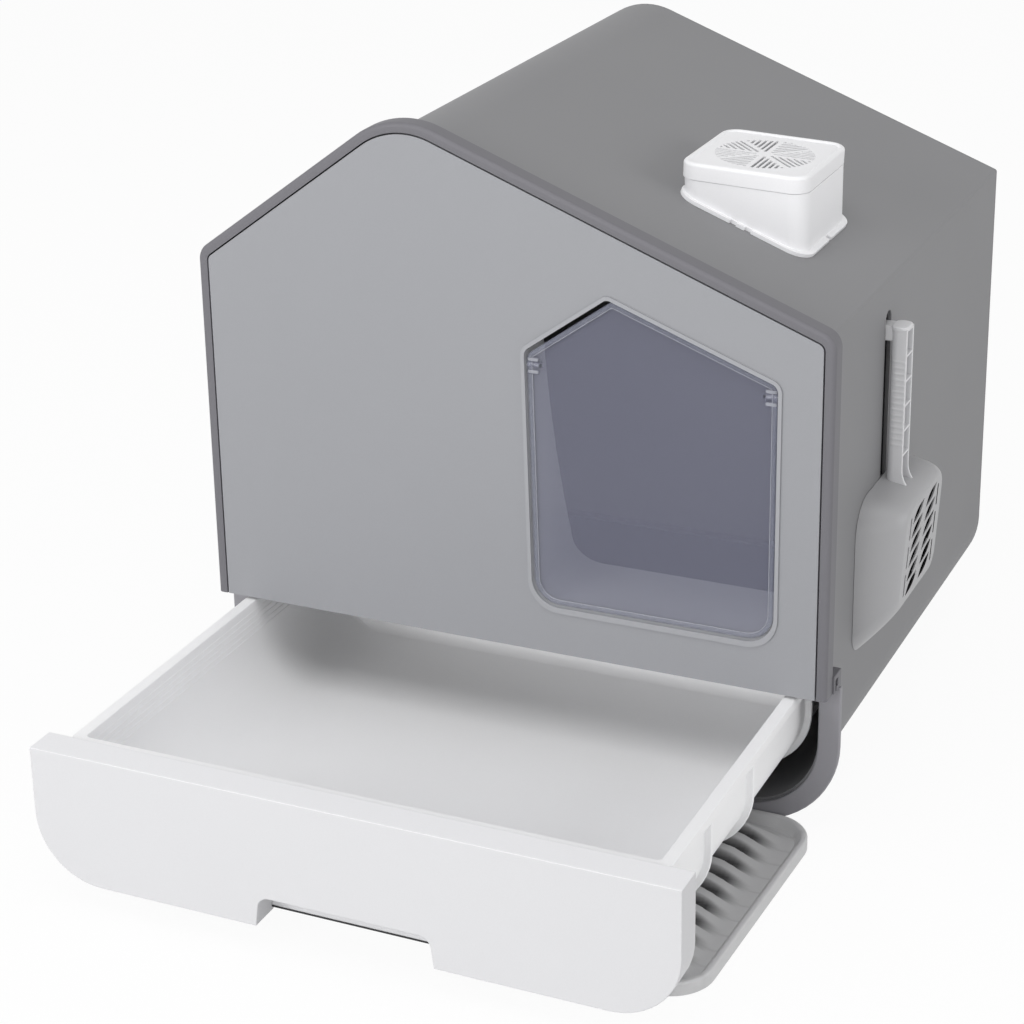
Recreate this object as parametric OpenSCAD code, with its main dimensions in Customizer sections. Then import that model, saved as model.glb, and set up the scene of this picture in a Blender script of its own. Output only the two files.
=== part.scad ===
// Covered litter box shaped like a house, with a pull-out litter drawer.
// Millimetres, +Z up, +Y from the front towards the back. The origin is the middle of the
// base rim's underside, where the front of the box stands on the floor.
// The drawer is drawn pulled out, as it stands at rest.

/* [House] */
// Width over the front frame
house_w = 490; // [440:1:560]
// Depth from the front plane to the back panel's outer face
house_depth = 471; // [440:1:560]
// Height of the left eave of the front frame, at its sharp corner
left_eave_z = 396.5; // [370:0.5:420]
// Height of the right eave of the front frame, at its sharp corner
right_eave_z = 389.4; // [370:0.1:420]
// Height of the ridge of the front frame, at its sharp corner
ridge_z = 517.2; // [495:0.1:560]
// Sideways place of the ridge
ridge_x = -82.4; // [-100:0.1:-60]
// Radius of the frame's rounded ridge
ridge_r = 64; // [50:1:75]
// Radius of the frame's eave corners
eave_r = 14; // [13:0.5:18]
// Wall thickness of the shell
shell_wall = 3; // [2.5:0.1:4]
// Step from the front frame's outline in to the shell's outer face
shell_step = 11.5; // [10:0.5:14]
// Thickness of the back panel
back_t = 3; // [2.5:0.1:5]
// Depth of the lip that the back panel pushes into the shell
back_lip = 8; // [5:0.5:12]

/* [Front frame and base rim] */
// Width of the frame's band, seen from the front
band_w = 7.5; // [6:0.1:8]
// Depth of the frame's band
band_depth = 14; // [12:0.5:18]
// Thickness of the ledge behind the front panel
ledge_t = 4; // [3:0.5:5]
// Height at which the frame and the front panel end above the drawer
sill_z = 120; // [112:0.5:135]
// Distance from the front plane back to the base rim
rim_setback = 25; // [24:0.5:32]
// Thickness of the base rim
rim_t = 5; // [4:0.5:8]
// Distance that the base rim stands out beyond the front frame on each side
rim_proud = 3; // [1:0.5:5]
// Outer radius of the base rim's lower corners
base_r = 72; // [66:1:80]
// Height of the side catches above the frame's lower ends
latch_h = 14; // [12:0.5:20]

/* [Front panel and doorway] */
// Thickness of the front panel's skin
panel_t = 3; // [2.5:0.1:4]
// Seam between the front panel and the frame's band
panel_gap = 1; // [0.6:0.1:1.5]
// Distance from the frame's right side to the doorway
door_side = 39.5; // [34:0.1:46]
// Width of the doorway at its top
door_w = 187.9; // [175:0.1:195]
// Lean of the doorway's left edge, top against bottom
door_lean = 3.8; // [0:0.1:5]
// Height of the doorway's sill
door_sill_z = 157.7; // [145:0.1:175]
// Height of the doorway's left shoulder
door_left_z = 352.6; // [349:0.1:358]
// Height of the doorway's right shoulder
door_right_z = 351.1; // [348:0.1:356]
// Height of the doorway's peak
door_peak_z = 398; // [388:0.5:404]
// Distance from the doorway's left edge to its peak
door_peak_in = 62.8; // [50:0.1:75]
// Radius of the doorway's lower corners
door_r = 21; // [16:0.5:28]
// Width of the raised rim along the doorway's sides and slopes
door_rim_w = 2.8; // [2.6:0.1:6]
// Width of the raised rim below the doorway
door_rim_low_w = 4.5; // [3.5:0.1:6]
// Height of the raised rim in front of the panel
door_rim_h = 1.2; // [0.5:0.1:1.5]

/* [Flap and entry sleeve] */
// Clearance between the flap and the doorway
flap_gap = 1.3; // [1:0.1:2]
// Extra clearance along the doorway's left slope
flap_slack = 2; // [0:0.1:2.5]
// Thickness of the flap
flap_t = 3; // [2:0.1:4]
// Distance from the front plane back to the flap
flap_setback = 3; // [2.5:0.1:6]
// Height of the flap's hinge axis
flap_axis_z = 341.5; // [338:0.5:344]
// Radius of the flap's two pins
pin_r = 2; // [1.5:0.1:2.2]
// Length of each pin inside the doorway
pin_reach = 10; // [8:0.5:14]
// Depth of the entry sleeve at its floor
sleeve_floor_y = 83; // [60:1:110]
// Depth of the entry sleeve level with the hinge
sleeve_top_y = 35; // [28:1:45]
// Wall thickness of the entry sleeve
sleeve_t = 2.5; // [2:0.1:3.5]

/* [Drawer] */
// Distance that the drawer stands pulled out at rest
drawer_out = 268; // [220:1:300]
// Distance from the frame's side in to the drawer front's side
drawer_side = 6; // [4:0.5:7]
// Height of the drawer front's lower edge
drawer_low_z = 19; // [16:0.5:30]
// Gap between the drawer front's upper edge and the front panel
drawer_top_gap = 1; // [0.6:0.1:3]
// Depth of the drawer's front
drawer_front_t = 24.7; // [20:0.1:24.7]
// Thickness of the plate on the pan that closes the drawer's front
front_plate_t = 3; // [2.5:0.1:5]
// Outer radius of the drawer front's lower corners
drawer_front_r = 50; // [40:1:60]
// Skin thickness of the drawer's front
drawer_skin = 3; // [2.5:0.1:4]
// Width of the finger notch at its top
notch_w = 127; // [90:1:160]
// How much the finger notch widens towards its foot, on each side
notch_flare = 4; // [0:0.5:10]
// Height of the finger notch
notch_h = 23; // [18:0.5:30]
// Length of the litter pan
pan_len = 376; // [340:1:430]
// Clearance between the pan's runners and the shell's inner face on each side
pan_side_gap = 4.5; // [3:0.1:6]
// Distance that the pan's runners stand out from its wall
pan_runner_out = 8.5; // [8:0.1:12]
// Length of the runners at the pan's back
pan_runner_len = 114; // [80:1:120]
// Distance that the pan's rim stands out from its wall
pan_rim_out = 5; // [3:0.1:6]
// Height of the pan's rim
pan_rim_h = 8; // [6:0.5:12]
// Wall thickness of the pan
pan_t = 4.5; // [2.5:0.1:5]
// Height of the pan's underside
pan_low_z = 43; // [40:0.5:55]
// Outer radius of the pan's lower side corners
pan_r = 45; // [30:1:50]
// Depth of the pan's outer ribs
pan_rib_d = 5; // [3:0.1:5.5]
// Thickness of the pan's outer ribs
pan_rib_t = 3; // [2:0.1:5]
// Distance from the pan's front to its first outer rib
pan_rib_first = 74.5; // [50:0.5:90]
// Distance from the pan's front to its second outer rib
pan_rib_second = 157; // [120:0.5:180]
// Distance from the pan's front to its third outer rib
pan_rib_third = 284; // [220:0.5:300]

/* [Step mat] */
// Distance from the frame's side in to the mat's back corner
mat_side = 9; // [0:0.5:30]
// How much narrower the mat's front edge is
mat_taper = 14; // [0:1:40]
// Length of the mat from front to back
mat_len = 238; // [200:1:300]
// Height of the mat's border
mat_h = 10; // [8:0.5:14]
// Width of the mat's border
mat_border = 5; // [4:0.5:12]
// Thickness of the mat's floor
mat_floor = 3; // [2:0.1:4]
// Corner radius of the mat
mat_r = 32; // [24:1:45]
// Spacing of the mat's ribs
mat_pitch = 20; // [16:0.5:26]

/* [Deodorizer] */
// Width of the deodorizer's lid
deo_w = 96; // [80:1:110]
// Length of the deodorizer's lid from front to back
deo_len = 103; // [80:1:110]
// Distance from the frame's right side to the deodorizer's middle
deo_side = 111; // [95:1:120]
// Distance from the front plane to the deodorizer's middle
deo_y = 173.5; // [140:0.5:260]
// Height of the lid's top at its middle
deo_top_z = 463; // [458:0.5:470]
// Tilt of the lid, down towards the eave
deo_tilt = 2.3; // [0:0.1:4]
// Height of the lid's skirt
deo_lid_h = 12.5; // [8:0.5:12.5]
// Wall thickness of the housing and the lid
deo_t = 2.5; // [2:0.1:3]
// Clearance between the housing's wall and the lid's tilted skirt
deo_lid_gap = 0.8; // [0.7:0.1:1.2]
// Width of the flange on the roof around the housing
deo_flange = 3; // [1.5:0.1:6]
// Thickness of the flange on the roof
deo_flange_t = 3; // [2:0.1:4]
// Radius of the round grille
grille_r = 37; // [30:0.5:38]
// Thickness of the filter pad
pad_t = 4; // [2:0.1:4.5]

/* [Scoop] */
// Distance from the front plane to the scoop's middle
scoop_y = 164; // [150:1:300]
// Height of the scoop's lip
scoop_lip_z = 109; // [100:1:130]
// Width of the scoop's mouth
scoop_w = 134; // [110:1:150]
// Length of the scoop's mouth from its lip to its heel
scoop_mouth_len = 120; // [110:1:135]
// Depth of the scoop's bowl at its heel
scoop_depth = 33; // [26:0.5:40]
// Width of the scoop's perforated floor
scoop_floor_w = 92; // [80:1:100]
// Wall thickness of the scoop
scoop_t = 2.2; // [1.8:0.1:2.6]
// Length of the handle above the mouth
handle_len = 119; // [100:1:135]
// Width of the handle
handle_w = 18; // [15:0.5:22]
// Thickness of the handle
handle_t = 13; // [10:0.5:16]
// Distance between the handle and the wall
handle_off = 3.5; // [3:0.1:8]
// Width of the slot in the wall behind the handle
slot_w = 14; // [10:0.5:16]
// Height of the slot
slot_h = 131; // [110:1:140]
// Depth of the pocket behind the slot
pocket_d = 12; // [8:0.5:20]

/* [Hidden] */

// Colours
c_shell = [0.54, 0.54, 0.55];
c_frame = [0.48, 0.47, 0.49];
c_panel = [0.66, 0.66, 0.67];
c_white = [0.93, 0.93, 0.94];
c_mat = [0.60, 0.60, 0.59];
c_scoop = [0.67, 0.67, 0.68];
c_flap = [0.55, 0.57, 0.66, 0.5];

// Clearances
loose = 0.3;      // between pieces that lift or slide apart
pin_clear = 0.05; // radial, between a pin and its bore
seat_clear = 0.02; // radial, between a pin and the wall that holds it
eps = 1;          // how far a cutting shape runs past what it cuts
arc_step = 6;     // degrees between the points of a rounded corner
round_fn = 48;    // sides of a round pin or hole

// Places that several pieces share, measured from the front plane
front_y = -(rim_setback + rim_t / 2);
rim_back = rim_setback + rim_t;
back_y = house_depth - back_t;
shell_half = house_w / 2 - shell_step;
inner_half = shell_half - shell_wall;
panel_in = band_w + panel_gap;

// Points and vectors in a plane
function unit(v) = v / norm(v);
function left_of(v) = [-v.y, v.x];
function crossing(p, u, q, v) = p + u * cross(q - p, v) / cross(u, v);
function at(list, i) = list[(i + len(list)) % len(list)];

// Moves the sides of an anticlockwise outline inwards: side i, which starts at point i, by d[i]
function inset_sides(pts, d) = [for (i = [0 : len(pts) - 1])
    let (a = at(pts, i - 1), b = pts[i], c = at(pts, i + 1),
        u = unit(b - a), v = unit(c - b))
    crossing(a + left_of(u) * at(d, i - 1), u, b + left_of(v) * d[i], v)];

// Moves every side of an anticlockwise outline inwards by d
function inset_outline(pts, d) = inset_sides(pts, [for (p = pts) d]);

// The points of one rounded corner
function corner_arc(a, b, c, r) =
    let (u = unit(a - b), v = unit(c - b), half = acos(u * v) / 2,
        centre = b + unit(u + v) * r / sin(half),
        first = b + u * r / tan(half) - centre,
        turn = sign(cross(b - a, c - b)) * (180 - 2 * half),
        steps = max(1, ceil(abs(turn) / arc_step)), start = atan2(first.y, first.x))
    [for (i = [0 : steps]) centre + r * [cos(start + turn * i / steps), sin(start + turn * i / steps)]];

// An outline with each corner rounded by its own radius; 0 keeps the corner sharp
function rounded(pts, radii) = [for (i = [0 : len(pts) - 1])
    each radii[i] > 0 ? corner_arc(at(pts, i - 1), pts[i], at(pts, i + 1), radii[i]) : [pts[i]]];

function inset_radii(radii, d) = [for (r = radii) max(r - d, 0)];

// A rounded rectangle about the origin
function round_rect(w, l, r) = rounded([[-w, -l] / 2, [w, -l] / 2, [w, l] / 2, [-w, l] / 2], [r, r, r, r]);

// The house outline of the front frame, its sides drawn in by d
frame_pts = [[-house_w / 2, 0], [house_w / 2, 0], [house_w / 2, right_eave_z],
    [ridge_x, ridge_z], [-house_w / 2, left_eave_z]];
frame_radii = [base_r, base_r, eave_r, ridge_r, eave_r];
function house_outline(d) = rounded(inset_outline(frame_pts, d), inset_radii(frame_radii, d));

// Right roof slope of the shell
roof_run = house_w / 2 - ridge_x;
roof_rise = ridge_z - right_eave_z;
roof_angle = atan2(roof_rise, roof_run);
function roof_z(x) = right_eave_z + (house_w / 2 - x) * roof_rise / roof_run - shell_step / cos(roof_angle);

// Doorway outline, its sides drawn in by d
door_right = house_w / 2 - door_side;
door_left = door_right - door_w;
door_pts = [[door_left + door_lean, door_sill_z], [door_right, door_sill_z],
    [door_right, door_right_z], [door_left + door_peak_in, door_peak_z], [door_left, door_left_z]];
door_shoulder_r = 7;
door_peak_r = 5;
door_radii = [door_r, door_r, door_shoulder_r, door_peak_r, door_shoulder_r];
function door_outline(d) = rounded(inset_outline(door_pts, d), inset_radii(door_radii, d));

// Outer outline of the doorway's raised rim, broader along the sill
function rim_outline() =
    let (wide = [for (low = [1, 0, 0, 0, 0]) low * door_rim_low_w + (1 - low) * door_rim_w])
    rounded(inset_sides(door_pts, -wide), inset_radii(door_radii, -door_rim_w));

// Moves a piece from the front plane's frame into the part's frame
module from_front() {
    translate([0, front_y, 0]) children();
}

// Extrudes an upright X-Z outline from y0 back to y1
module along_y(y0, y1) {
    translate([0, y1, 0]) rotate([90, 0, 0]) linear_extrude(y1 - y0) children();
}

// Extrudes a Y-Z outline from x0 right to x1
module along_x(x0, x1) {
    translate([x0, 0, 0]) rotate([90, 0, 90]) linear_extrude(x1 - x0) children();
}

// The ring between the house outline drawn in by d0 and by d1
module house_ring(d0, d1, y0, y1) {
    along_y(y0, y1) difference() {
        polygon(house_outline(d0));
        polygon(house_outline(d1));
    }
}

module door_ring(d0, d1, y0, y1) {
    along_y(y0, y1) difference() {
        polygon(door_outline(d0));
        polygon(door_outline(d1));
    }
}

// A box that removes all below the sill between two depths
module below_sill(y0, y1) {
    translate([-house_w, y0, -eps]) cube([2 * house_w, y1 - y0, sill_z + eps]);
}

// Round-topped slot in the right wall, as a Y-Z outline grown by g; it ends above the handle
slot_above = 9;
slot_top_z = scoop_lip_z + scoop_mouth_len + handle_len + slot_above;
module slot_outline(g) {
    w = slot_w + 2 * g;
    translate([scoop_y - w / 2, slot_top_z - slot_h - g]) square([w, slot_h - slot_w / 2 + g]);
    translate([scoop_y, slot_top_z - slot_w / 2]) circle(r = w / 2, $fn = round_fn);
}

// Opening in the roof below the deodorizer's middle
vent_w = 60;
deo_x = house_w / 2 - deo_side;

module outer_shell() {
    color(c_shell) from_front() difference() {
        house_ring(shell_step, shell_step + shell_wall, band_depth, back_y);
        below_sill(band_depth - eps, rim_back);
        translate([shell_half - shell_wall - eps, 0, 0]) along_x(0, shell_wall + 2 * eps) slot_outline(0);
        translate([deo_x - vent_w / 2, deo_y - vent_w / 2, roof_z(deo_x) - vent_w])
            cube([vent_w, vent_w, 2 * vent_w]);
    }
}

module back_panel() {
    lip_in = shell_step + shell_wall + loose;
    color(c_shell) from_front() {
        along_y(back_y, house_depth) polygon(house_outline(shell_step));
        house_ring(lip_in, lip_in + back_t, back_y - back_lip, back_y);
    }
}

// The band around the front, with a ledge that the front panel lands on
module front_bezel() {
    color(c_frame) from_front() difference() {
        union() {
            house_ring(0, band_w, 0, band_depth);
            house_ring(band_w - eps, shell_step + ledge_t, band_depth - ledge_t, band_depth);
        }
        below_sill(-eps, band_depth + eps);
    }
}

// Catch that joins the frame's lower end to the base rim, with its snap notch
snap_in = 4;
snap_size = 6;
snap_back = 3;
snap_up = 4;
module latch(side) {
    out = house_w / 2 + rim_proud / 2;
    wide = out - shell_half;
    color(c_frame) from_front() mirror([side < 0 ? 1 : 0, 0, 0]) difference() {
        translate([shell_half, band_depth, sill_z]) cube([wide, rim_back - band_depth, latch_h]);
        translate([out - snap_in, band_depth + snap_back, sill_z + snap_up])
            cube([snap_in + eps, snap_size, snap_size]);
        translate([out - snap_in, band_depth + snap_back, sill_z - eps])
            cube([snap_in + eps, snap_size / 2, snap_up + 2 * eps]);
    }
}

// U-shaped foot flange around the drawer's opening, seated on the shell's front edge
rim_half = house_w / 2 + rim_proud;
module base_rim() {
    color(c_frame) from_front() along_y(rim_setback, rim_back) difference() {
        polygon(tub_outline(rim_half, 0, sill_z, base_r));
        polygon(house_outline(shell_step + shell_wall / 2));
    }
}

// Panel with a return around its edge and an opening that the entry sleeve passes through
module front_panel() {
    return_w = 3;
    color(c_panel) from_front() difference() {
        union() {
            along_y(0, panel_t) polygon(house_outline(panel_in));
            house_ring(panel_in, panel_in + return_w, panel_t, band_depth - ledge_t);
        }
        below_sill(-eps, band_depth);
        along_y(-eps, panel_t + eps) polygon(door_outline(-sleeve_t - seat_clear));
    }
}

// How deep the entry sleeve reaches at height z: deepest at its floor
function sleeve_y(z) =
    let (share = (flap_axis_z - z) / (flap_axis_z - door_sill_z), more = sleeve_floor_y - sleeve_top_y)
    sleeve_top_y + more * share * (share > 0 ? (1 + share) / 2 : 1 / 2);

// Tunnel through the doorway with a raised rim in front of the panel and a slanting far edge
module entry_sleeve() {
    low = door_sill_z - 2 * door_r;
    high = door_peak_z + 2 * door_r;
    steps = 16;
    far = house_depth / 2;
    edge = [for (i = [0 : steps]) let (z = low + (high - low) * i / steps) [sleeve_y(z), z]];
    flange_w = 6;
    color(c_panel) from_front() difference() {
        union() {
            along_y(-door_rim_h, 0) difference() {
                polygon(rim_outline());
                polygon(door_outline(0));
            }
            door_ring(-sleeve_t, 0, -eps / 2, sleeve_floor_y + door_r);
            door_ring(-flange_w, 0, panel_t, panel_t + sleeve_t);
        }
        along_x(door_left - door_w, door_right + door_w)
            polygon(concat(edge, [[far, high], [far, low]]));
        for (x = [door_left, door_right]) pin_bore(x, sleeve_t + eps, seat_clear);
    }
}

// Hinge line of the flap, and a hole centred on x that reaches h to both sides
flap_axis_y = flap_setback + flap_t / 2;
module pin_bore(x, h, clear) {
    translate([x - h, flap_axis_y, flap_axis_z]) rotate([0, 90, 0])
        cylinder(h = 2 * h, r = pin_r + clear, $fn = round_fn);
}

// One pin, seated in the sleeve's wall and ending short of its outer face
pin_seat = 1.5;
module flap_pin(x0) {
    color(c_flap) from_front() translate([x0, flap_axis_y, flap_axis_z]) rotate([0, 90, 0])
        cylinder(h = pin_seat + pin_reach, r = pin_r, $fn = round_fn);
}

// The two knuckles that hold the pin and their guard bars, at one side of the flap
knuckle_t = 1.6;
knuckle_r = pin_r + knuckle_t;
knuckle_w = 8.5;
module knuckle(x0) {
    bar_h = 3.4;
    bar_step = 4.6;
    translate([x0, flap_axis_y, flap_axis_z]) rotate([0, 90, 0])
        cylinder(h = knuckle_w, r = knuckle_r, $fn = round_fn);
    for (z = [-1, 1]) translate([x0, flap_setback - flap_t / 2, flap_axis_z + z * bar_step - bar_h / 2])
        cube([knuckle_w, flap_t, bar_h]);
}

// Flap outline, its sides drawn in by d: bottom, right, right slope, left slope, left
function flap_outline(d) = rounded(
    inset_sides(door_pts, [for (slack = [0, 0, 0, flap_slack, 0]) flap_gap + slack + d]),
    inset_radii(door_radii, flap_gap + d));

// Clear flap with a thicker border, hung on its two pins
module door_flap() {
    border_w = 3.5;
    border_h = 1.2;
    lean = door_lean * (door_left_z - flap_axis_z) / (door_left_z - door_sill_z);
    left_x = door_left + lean + flap_gap;
    right_x = door_right - flap_gap - knuckle_w;
    color(c_flap) from_front() difference() {
        union() {
            along_y(flap_setback, flap_setback + flap_t) polygon(flap_outline(0));
            along_y(flap_setback - border_h, flap_setback) difference() {
                polygon(flap_outline(0));
                polygon(flap_outline(border_w));
            }
            knuckle(left_x);
            knuckle(right_x);
        }
        for (x = [door_left, door_right]) pin_bore(x, pin_reach + 2 * eps, pin_clear);
    }
}

// U-shaped X-Z outline with round lower corners
function tub_outline(half, low, high, r) =
    rounded([[-half, low], [half, low], [half, high], [-half, high]], [r, r, 0, 0]);

// Drawer: its front face lies drawer_out in front of the front plane
drawer_front_w = house_w - 2 * drawer_side;
drawer_y0 = -drawer_out;
drawer_high_z = sill_z - drawer_top_gap;
pan_y0 = drawer_y0 + drawer_front_t;
pan_y1 = pan_y0 + pan_len;
pan_rim_z = drawer_high_z - 1;
pan_half = inner_half - pan_side_gap - pan_runner_out;

// Outline of the drawer front, its sides drawn in by d
function drawer_outline(d) =
    tub_outline(drawer_front_w / 2 - d, drawer_low_z + d, drawer_high_z - d, drawer_front_r - d);

// Outline of the finger notch, grown by g
notch_r = 9;
function notch_outline(g) =
    let (half = notch_w / 2 + g, foot = half + notch_flare,
        low = drawer_low_z - notch_r, high = drawer_low_z + notch_h + g)
    rounded([[-foot, low], [foot, low], [half, high], [-half, high]], [0, 0, notch_r + g, notch_r + g]);

// Hollow front, open at its back, with the finger notch walled off from the hollow
module drawer_front() {
    color(c_white) from_front() difference() {
        along_y(drawer_y0, pan_y0) polygon(drawer_outline(0));
        difference() {
            along_y(drawer_y0 + drawer_skin, pan_y0 + eps) polygon(drawer_outline(drawer_skin));
            along_y(drawer_y0, pan_y0 - front_plate_t - loose) polygon(notch_outline(drawer_skin));
        }
        along_y(drawer_y0 - eps, pan_y0 + eps) polygon(notch_outline(0));
    }
}

// Litter pan: a tub with a rim, ribs across its outer sides, runners at its back that slide on
// the rails, and a plate at its front that closes the hollow drawer front
module drawer_pan() {
    rim_half_w = pan_half + pan_rim_out;
    runner_half_w = pan_half + pan_runner_out;
    front_wall = 6;
    rim_low = pan_rim_z - pan_rim_h;
    color(c_white) from_front() {
        difference() {
            union() {
                along_y(pan_y0, pan_y1 - pan_rim_out)
                    polygon(tub_outline(pan_half, pan_low_z, pan_rim_z, pan_r));
                translate([-rim_half_w, pan_y0, rim_low]) cube([2 * rim_half_w, pan_len, pan_rim_h]);
                translate([-runner_half_w, pan_y1 - pan_runner_len, rim_low])
                    cube([2 * runner_half_w, pan_runner_len, pan_rim_h]);
                for (place = [pan_rib_first, pan_rib_second, pan_rib_third]) let (y = pan_y0 + place)
                    along_y(y - pan_rib_t / 2, y + pan_rib_t / 2)
                        polygon(tub_outline(pan_half + pan_rib_d, pan_low_z - pan_rib_d, rim_low + eps,
                            pan_r + pan_rib_d));
            }
            along_y(pan_y0 + front_wall, pan_y1 - pan_rim_out - pan_t)
                polygon(tub_outline(pan_half - pan_t, pan_low_z + pan_t, pan_rim_z + eps, pan_r - pan_t));
        }
        along_y(pan_y0 - front_plate_t, pan_y0) polygon(drawer_outline(drawer_skin + loose));
    }
}

// Ledge on the shell's inner face that the pan's rim slides along
module rail(side) {
    rib_gap = 1;
    rail_w = inner_half - pan_half - pan_rib_d - rib_gap;
    rail_h = 6;
    color(c_frame) from_front() mirror([side < 0 ? 1 : 0, 0, 0])
        translate([inner_half - rail_w, rim_back, pan_rim_z - pan_rim_h - loose - rail_h])
        cube([rail_w, back_y - back_lip - rim_back - loose, rail_h]);
}

// Round foot under the back of the shell
module foot(side) {
    foot_r = 15;
    foot_in = 60;
    color(c_frame) from_front() translate([side * (shell_half - base_r - foot_r), house_depth - foot_in, 0])
        cylinder(h = shell_step, r = foot_r, $fn = round_fn);
}

// Plan outline of the mat, its sides drawn in by d, centred on the mat's middle
mat_w = house_w - 2 * mat_side;
mat_pts = [[-mat_w / 2 + mat_taper / 2, -mat_len / 2], [mat_w / 2 - mat_taper / 2, -mat_len / 2],
    [mat_w / 2, mat_len / 2], [-mat_w / 2, mat_len / 2]];
function mat_outline(d) = rounded(inset_outline(mat_pts, d), inset_radii([mat_r, mat_r, mat_r, mat_r], d));

// Mat with a raised border and ribs running across it
module mat_tray() {
    mat_back = rim_setback - loose;
    rib_r = 5;
    rib_len = mat_w - mat_taper - 2 * mat_border - 2 * mat_pitch;
    count = floor((mat_len - 2 * mat_border - mat_pitch) / mat_pitch) + 1;
    mid_y = mat_back - mat_len / 2;
    color(c_mat) from_front() {
        difference() {
            translate([0, mid_y, 0]) linear_extrude(mat_h) polygon(mat_outline(0));
            translate([0, mid_y, mat_floor]) linear_extrude(mat_h) polygon(mat_outline(mat_border));
        }
        for (i = [0 : count - 1])
            translate([-rib_len / 2, mid_y + (i - (count - 1) / 2) * mat_pitch, mat_floor]) intersection() {
                rotate([0, 90, 0]) cylinder(h = rib_len, r = rib_r, $fn = round_fn);
                translate([0, -rib_r, -eps]) cube([rib_len, 2 * rib_r, rib_r + 2 * eps]);
            }
    }
}

// Step from the lid's skirt in to the wall below it
deo_step = 0.6;

// Deodorizer: its inner wall carries the lid, and its middle stands on the roof at deo_x
deo_body_w = deo_w - 2 * deo_t - 2 * deo_lid_gap;
deo_body_len = deo_len - 2 * deo_t - 2 * deo_lid_gap;
deo_r = 14;
deo_bottom_z = roof_z(deo_x);

// Everything below a plane that lies h above the roof, near the deodorizer
module under_roof(h) {
    big = 4 * deo_w;
    translate([deo_x, deo_y, deo_bottom_z]) rotate([0, roof_angle, 0])
        translate([-big / 2, -big / 2, h - big]) cube([big, big, big]);
}

// Places children on the underside of the lid's top plane
module lid_frame() {
    translate([deo_x, deo_y, deo_top_z]) rotate([0, deo_tilt, 0]) children();
}

module deodorizer_housing() {
    tall = deo_top_z - deo_bottom_z + deo_w;
    floor_h = deo_flange_t;
    edge_notch = 5;
    notch_step = 6;
    notch_in = 2;
    side_notch = deo_flange + deo_step;
    wall_w = deo_w - 2 * deo_step;
    wall_len = deo_len - 2 * deo_step;
    flange_w = (wall_w + 2 * deo_flange) / cos(roof_angle);
    flange_len = wall_len + 2 * deo_flange;
    slot = 4;
    slot_pitch = 12;
    color(c_white) from_front() {
        difference() {
            union() {
                translate([deo_x, deo_y, deo_bottom_z - deo_w]) linear_extrude(tall + deo_w)
                    polygon(round_rect(deo_body_w, deo_body_len, deo_r - deo_t));
                difference() {
                    translate([deo_x, deo_y, deo_bottom_z - deo_w]) linear_extrude(tall + deo_w)
                        polygon(round_rect(wall_w, wall_len, deo_r));
                    lid_frame() translate([-deo_w, -deo_len, -deo_lid_h - loose])
                        cube([2 * deo_w, 2 * deo_len, 2 * tall]);
                }
            }
            difference() {
                translate([deo_x, deo_y, deo_bottom_z - deo_w]) linear_extrude(2 * tall + deo_w)
                    polygon(round_rect(deo_body_w - 2 * deo_t, deo_body_len - 2 * deo_t, deo_r - 2 * deo_t));
                under_roof(floor_h);
            }
            under_roof(0);
            lid_frame() translate([-deo_w, -deo_len, -deo_t - loose])
                cube([2 * deo_w, 2 * deo_len, 2 * tall]);
            for (i = [-2 : 2])
                translate([deo_x - vent_w / 2, deo_y + i * slot_pitch - slot / 2, deo_bottom_z - vent_w])
                cube([vent_w, slot, 2 * vent_w]);
        }
        translate([deo_x, deo_y, deo_bottom_z]) rotate([0, roof_angle, 0]) linear_extrude(deo_flange_t)
            difference() {
                polygon(round_rect(flange_w, flange_len, deo_r + deo_flange));
                polygon(round_rect((deo_body_w - deo_t) / cos(roof_angle), deo_body_len - deo_t,
                    deo_r - deo_t));
                for (x = [-notch_step, notch_step])
                    translate([x - edge_notch / 2, -flange_len / 2 - eps])
                    square([edge_notch, notch_in + eps]);
                translate([flange_w / 2 - side_notch, -edge_notch / 2])
                    square([side_notch + eps, edge_notch]);
            }
    }
}

// Lid with a skirt around the housing and a round grille of slots in eight sectors; the slots
// of a sector run along one of its edges
module deodorizer_lid() {
    sectors = 8;
    sector = 360 / sectors;
    slot = 2;
    pitch = 4;
    spoke = 1.2;
    sector_slots = 6;
    color(c_white) from_front() lid_frame() difference() {
        translate([0, 0, -deo_lid_h]) linear_extrude(deo_lid_h) polygon(round_rect(deo_w, deo_len, deo_r));
        translate([0, 0, -deo_lid_h - eps]) linear_extrude(deo_lid_h - deo_t + eps)
            polygon(round_rect(deo_w - 2 * deo_t, deo_len - 2 * deo_t, deo_r - deo_t));
        for (k = [0 : sectors - 1], i = [0 : sector_slots - 1])
            let (low = spoke + i * pitch, high = low + slot, near = high / tan(sector) + 2 * spoke,
                far = sqrt(grille_r * grille_r - high * high))
            rotate([0, 0, k * sector]) translate([near, low, -deo_t - eps])
                cube([far - near, slot, deo_t + 2 * eps]);
    }
}

// Filter pad lying on the housing's floor
module deodorizer_pad() {
    color([0.25, 0.25, 0.26]) from_front() intersection() {
        translate([deo_x, deo_y, deo_bottom_z - deo_w]) linear_extrude(2 * deo_w)
            polygon(round_rect(deo_body_w - 2 * deo_t - 4 * loose, deo_body_len - 2 * deo_t - 4 * loose,
                deo_r - 2 * deo_t));
        translate([deo_x, deo_y, deo_bottom_z]) rotate([0, roof_angle, 0])
            translate([-deo_w, -deo_len, deo_flange_t + loose]) cube([2 * deo_w, 2 * deo_len, pad_t]);
    }
}

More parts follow.
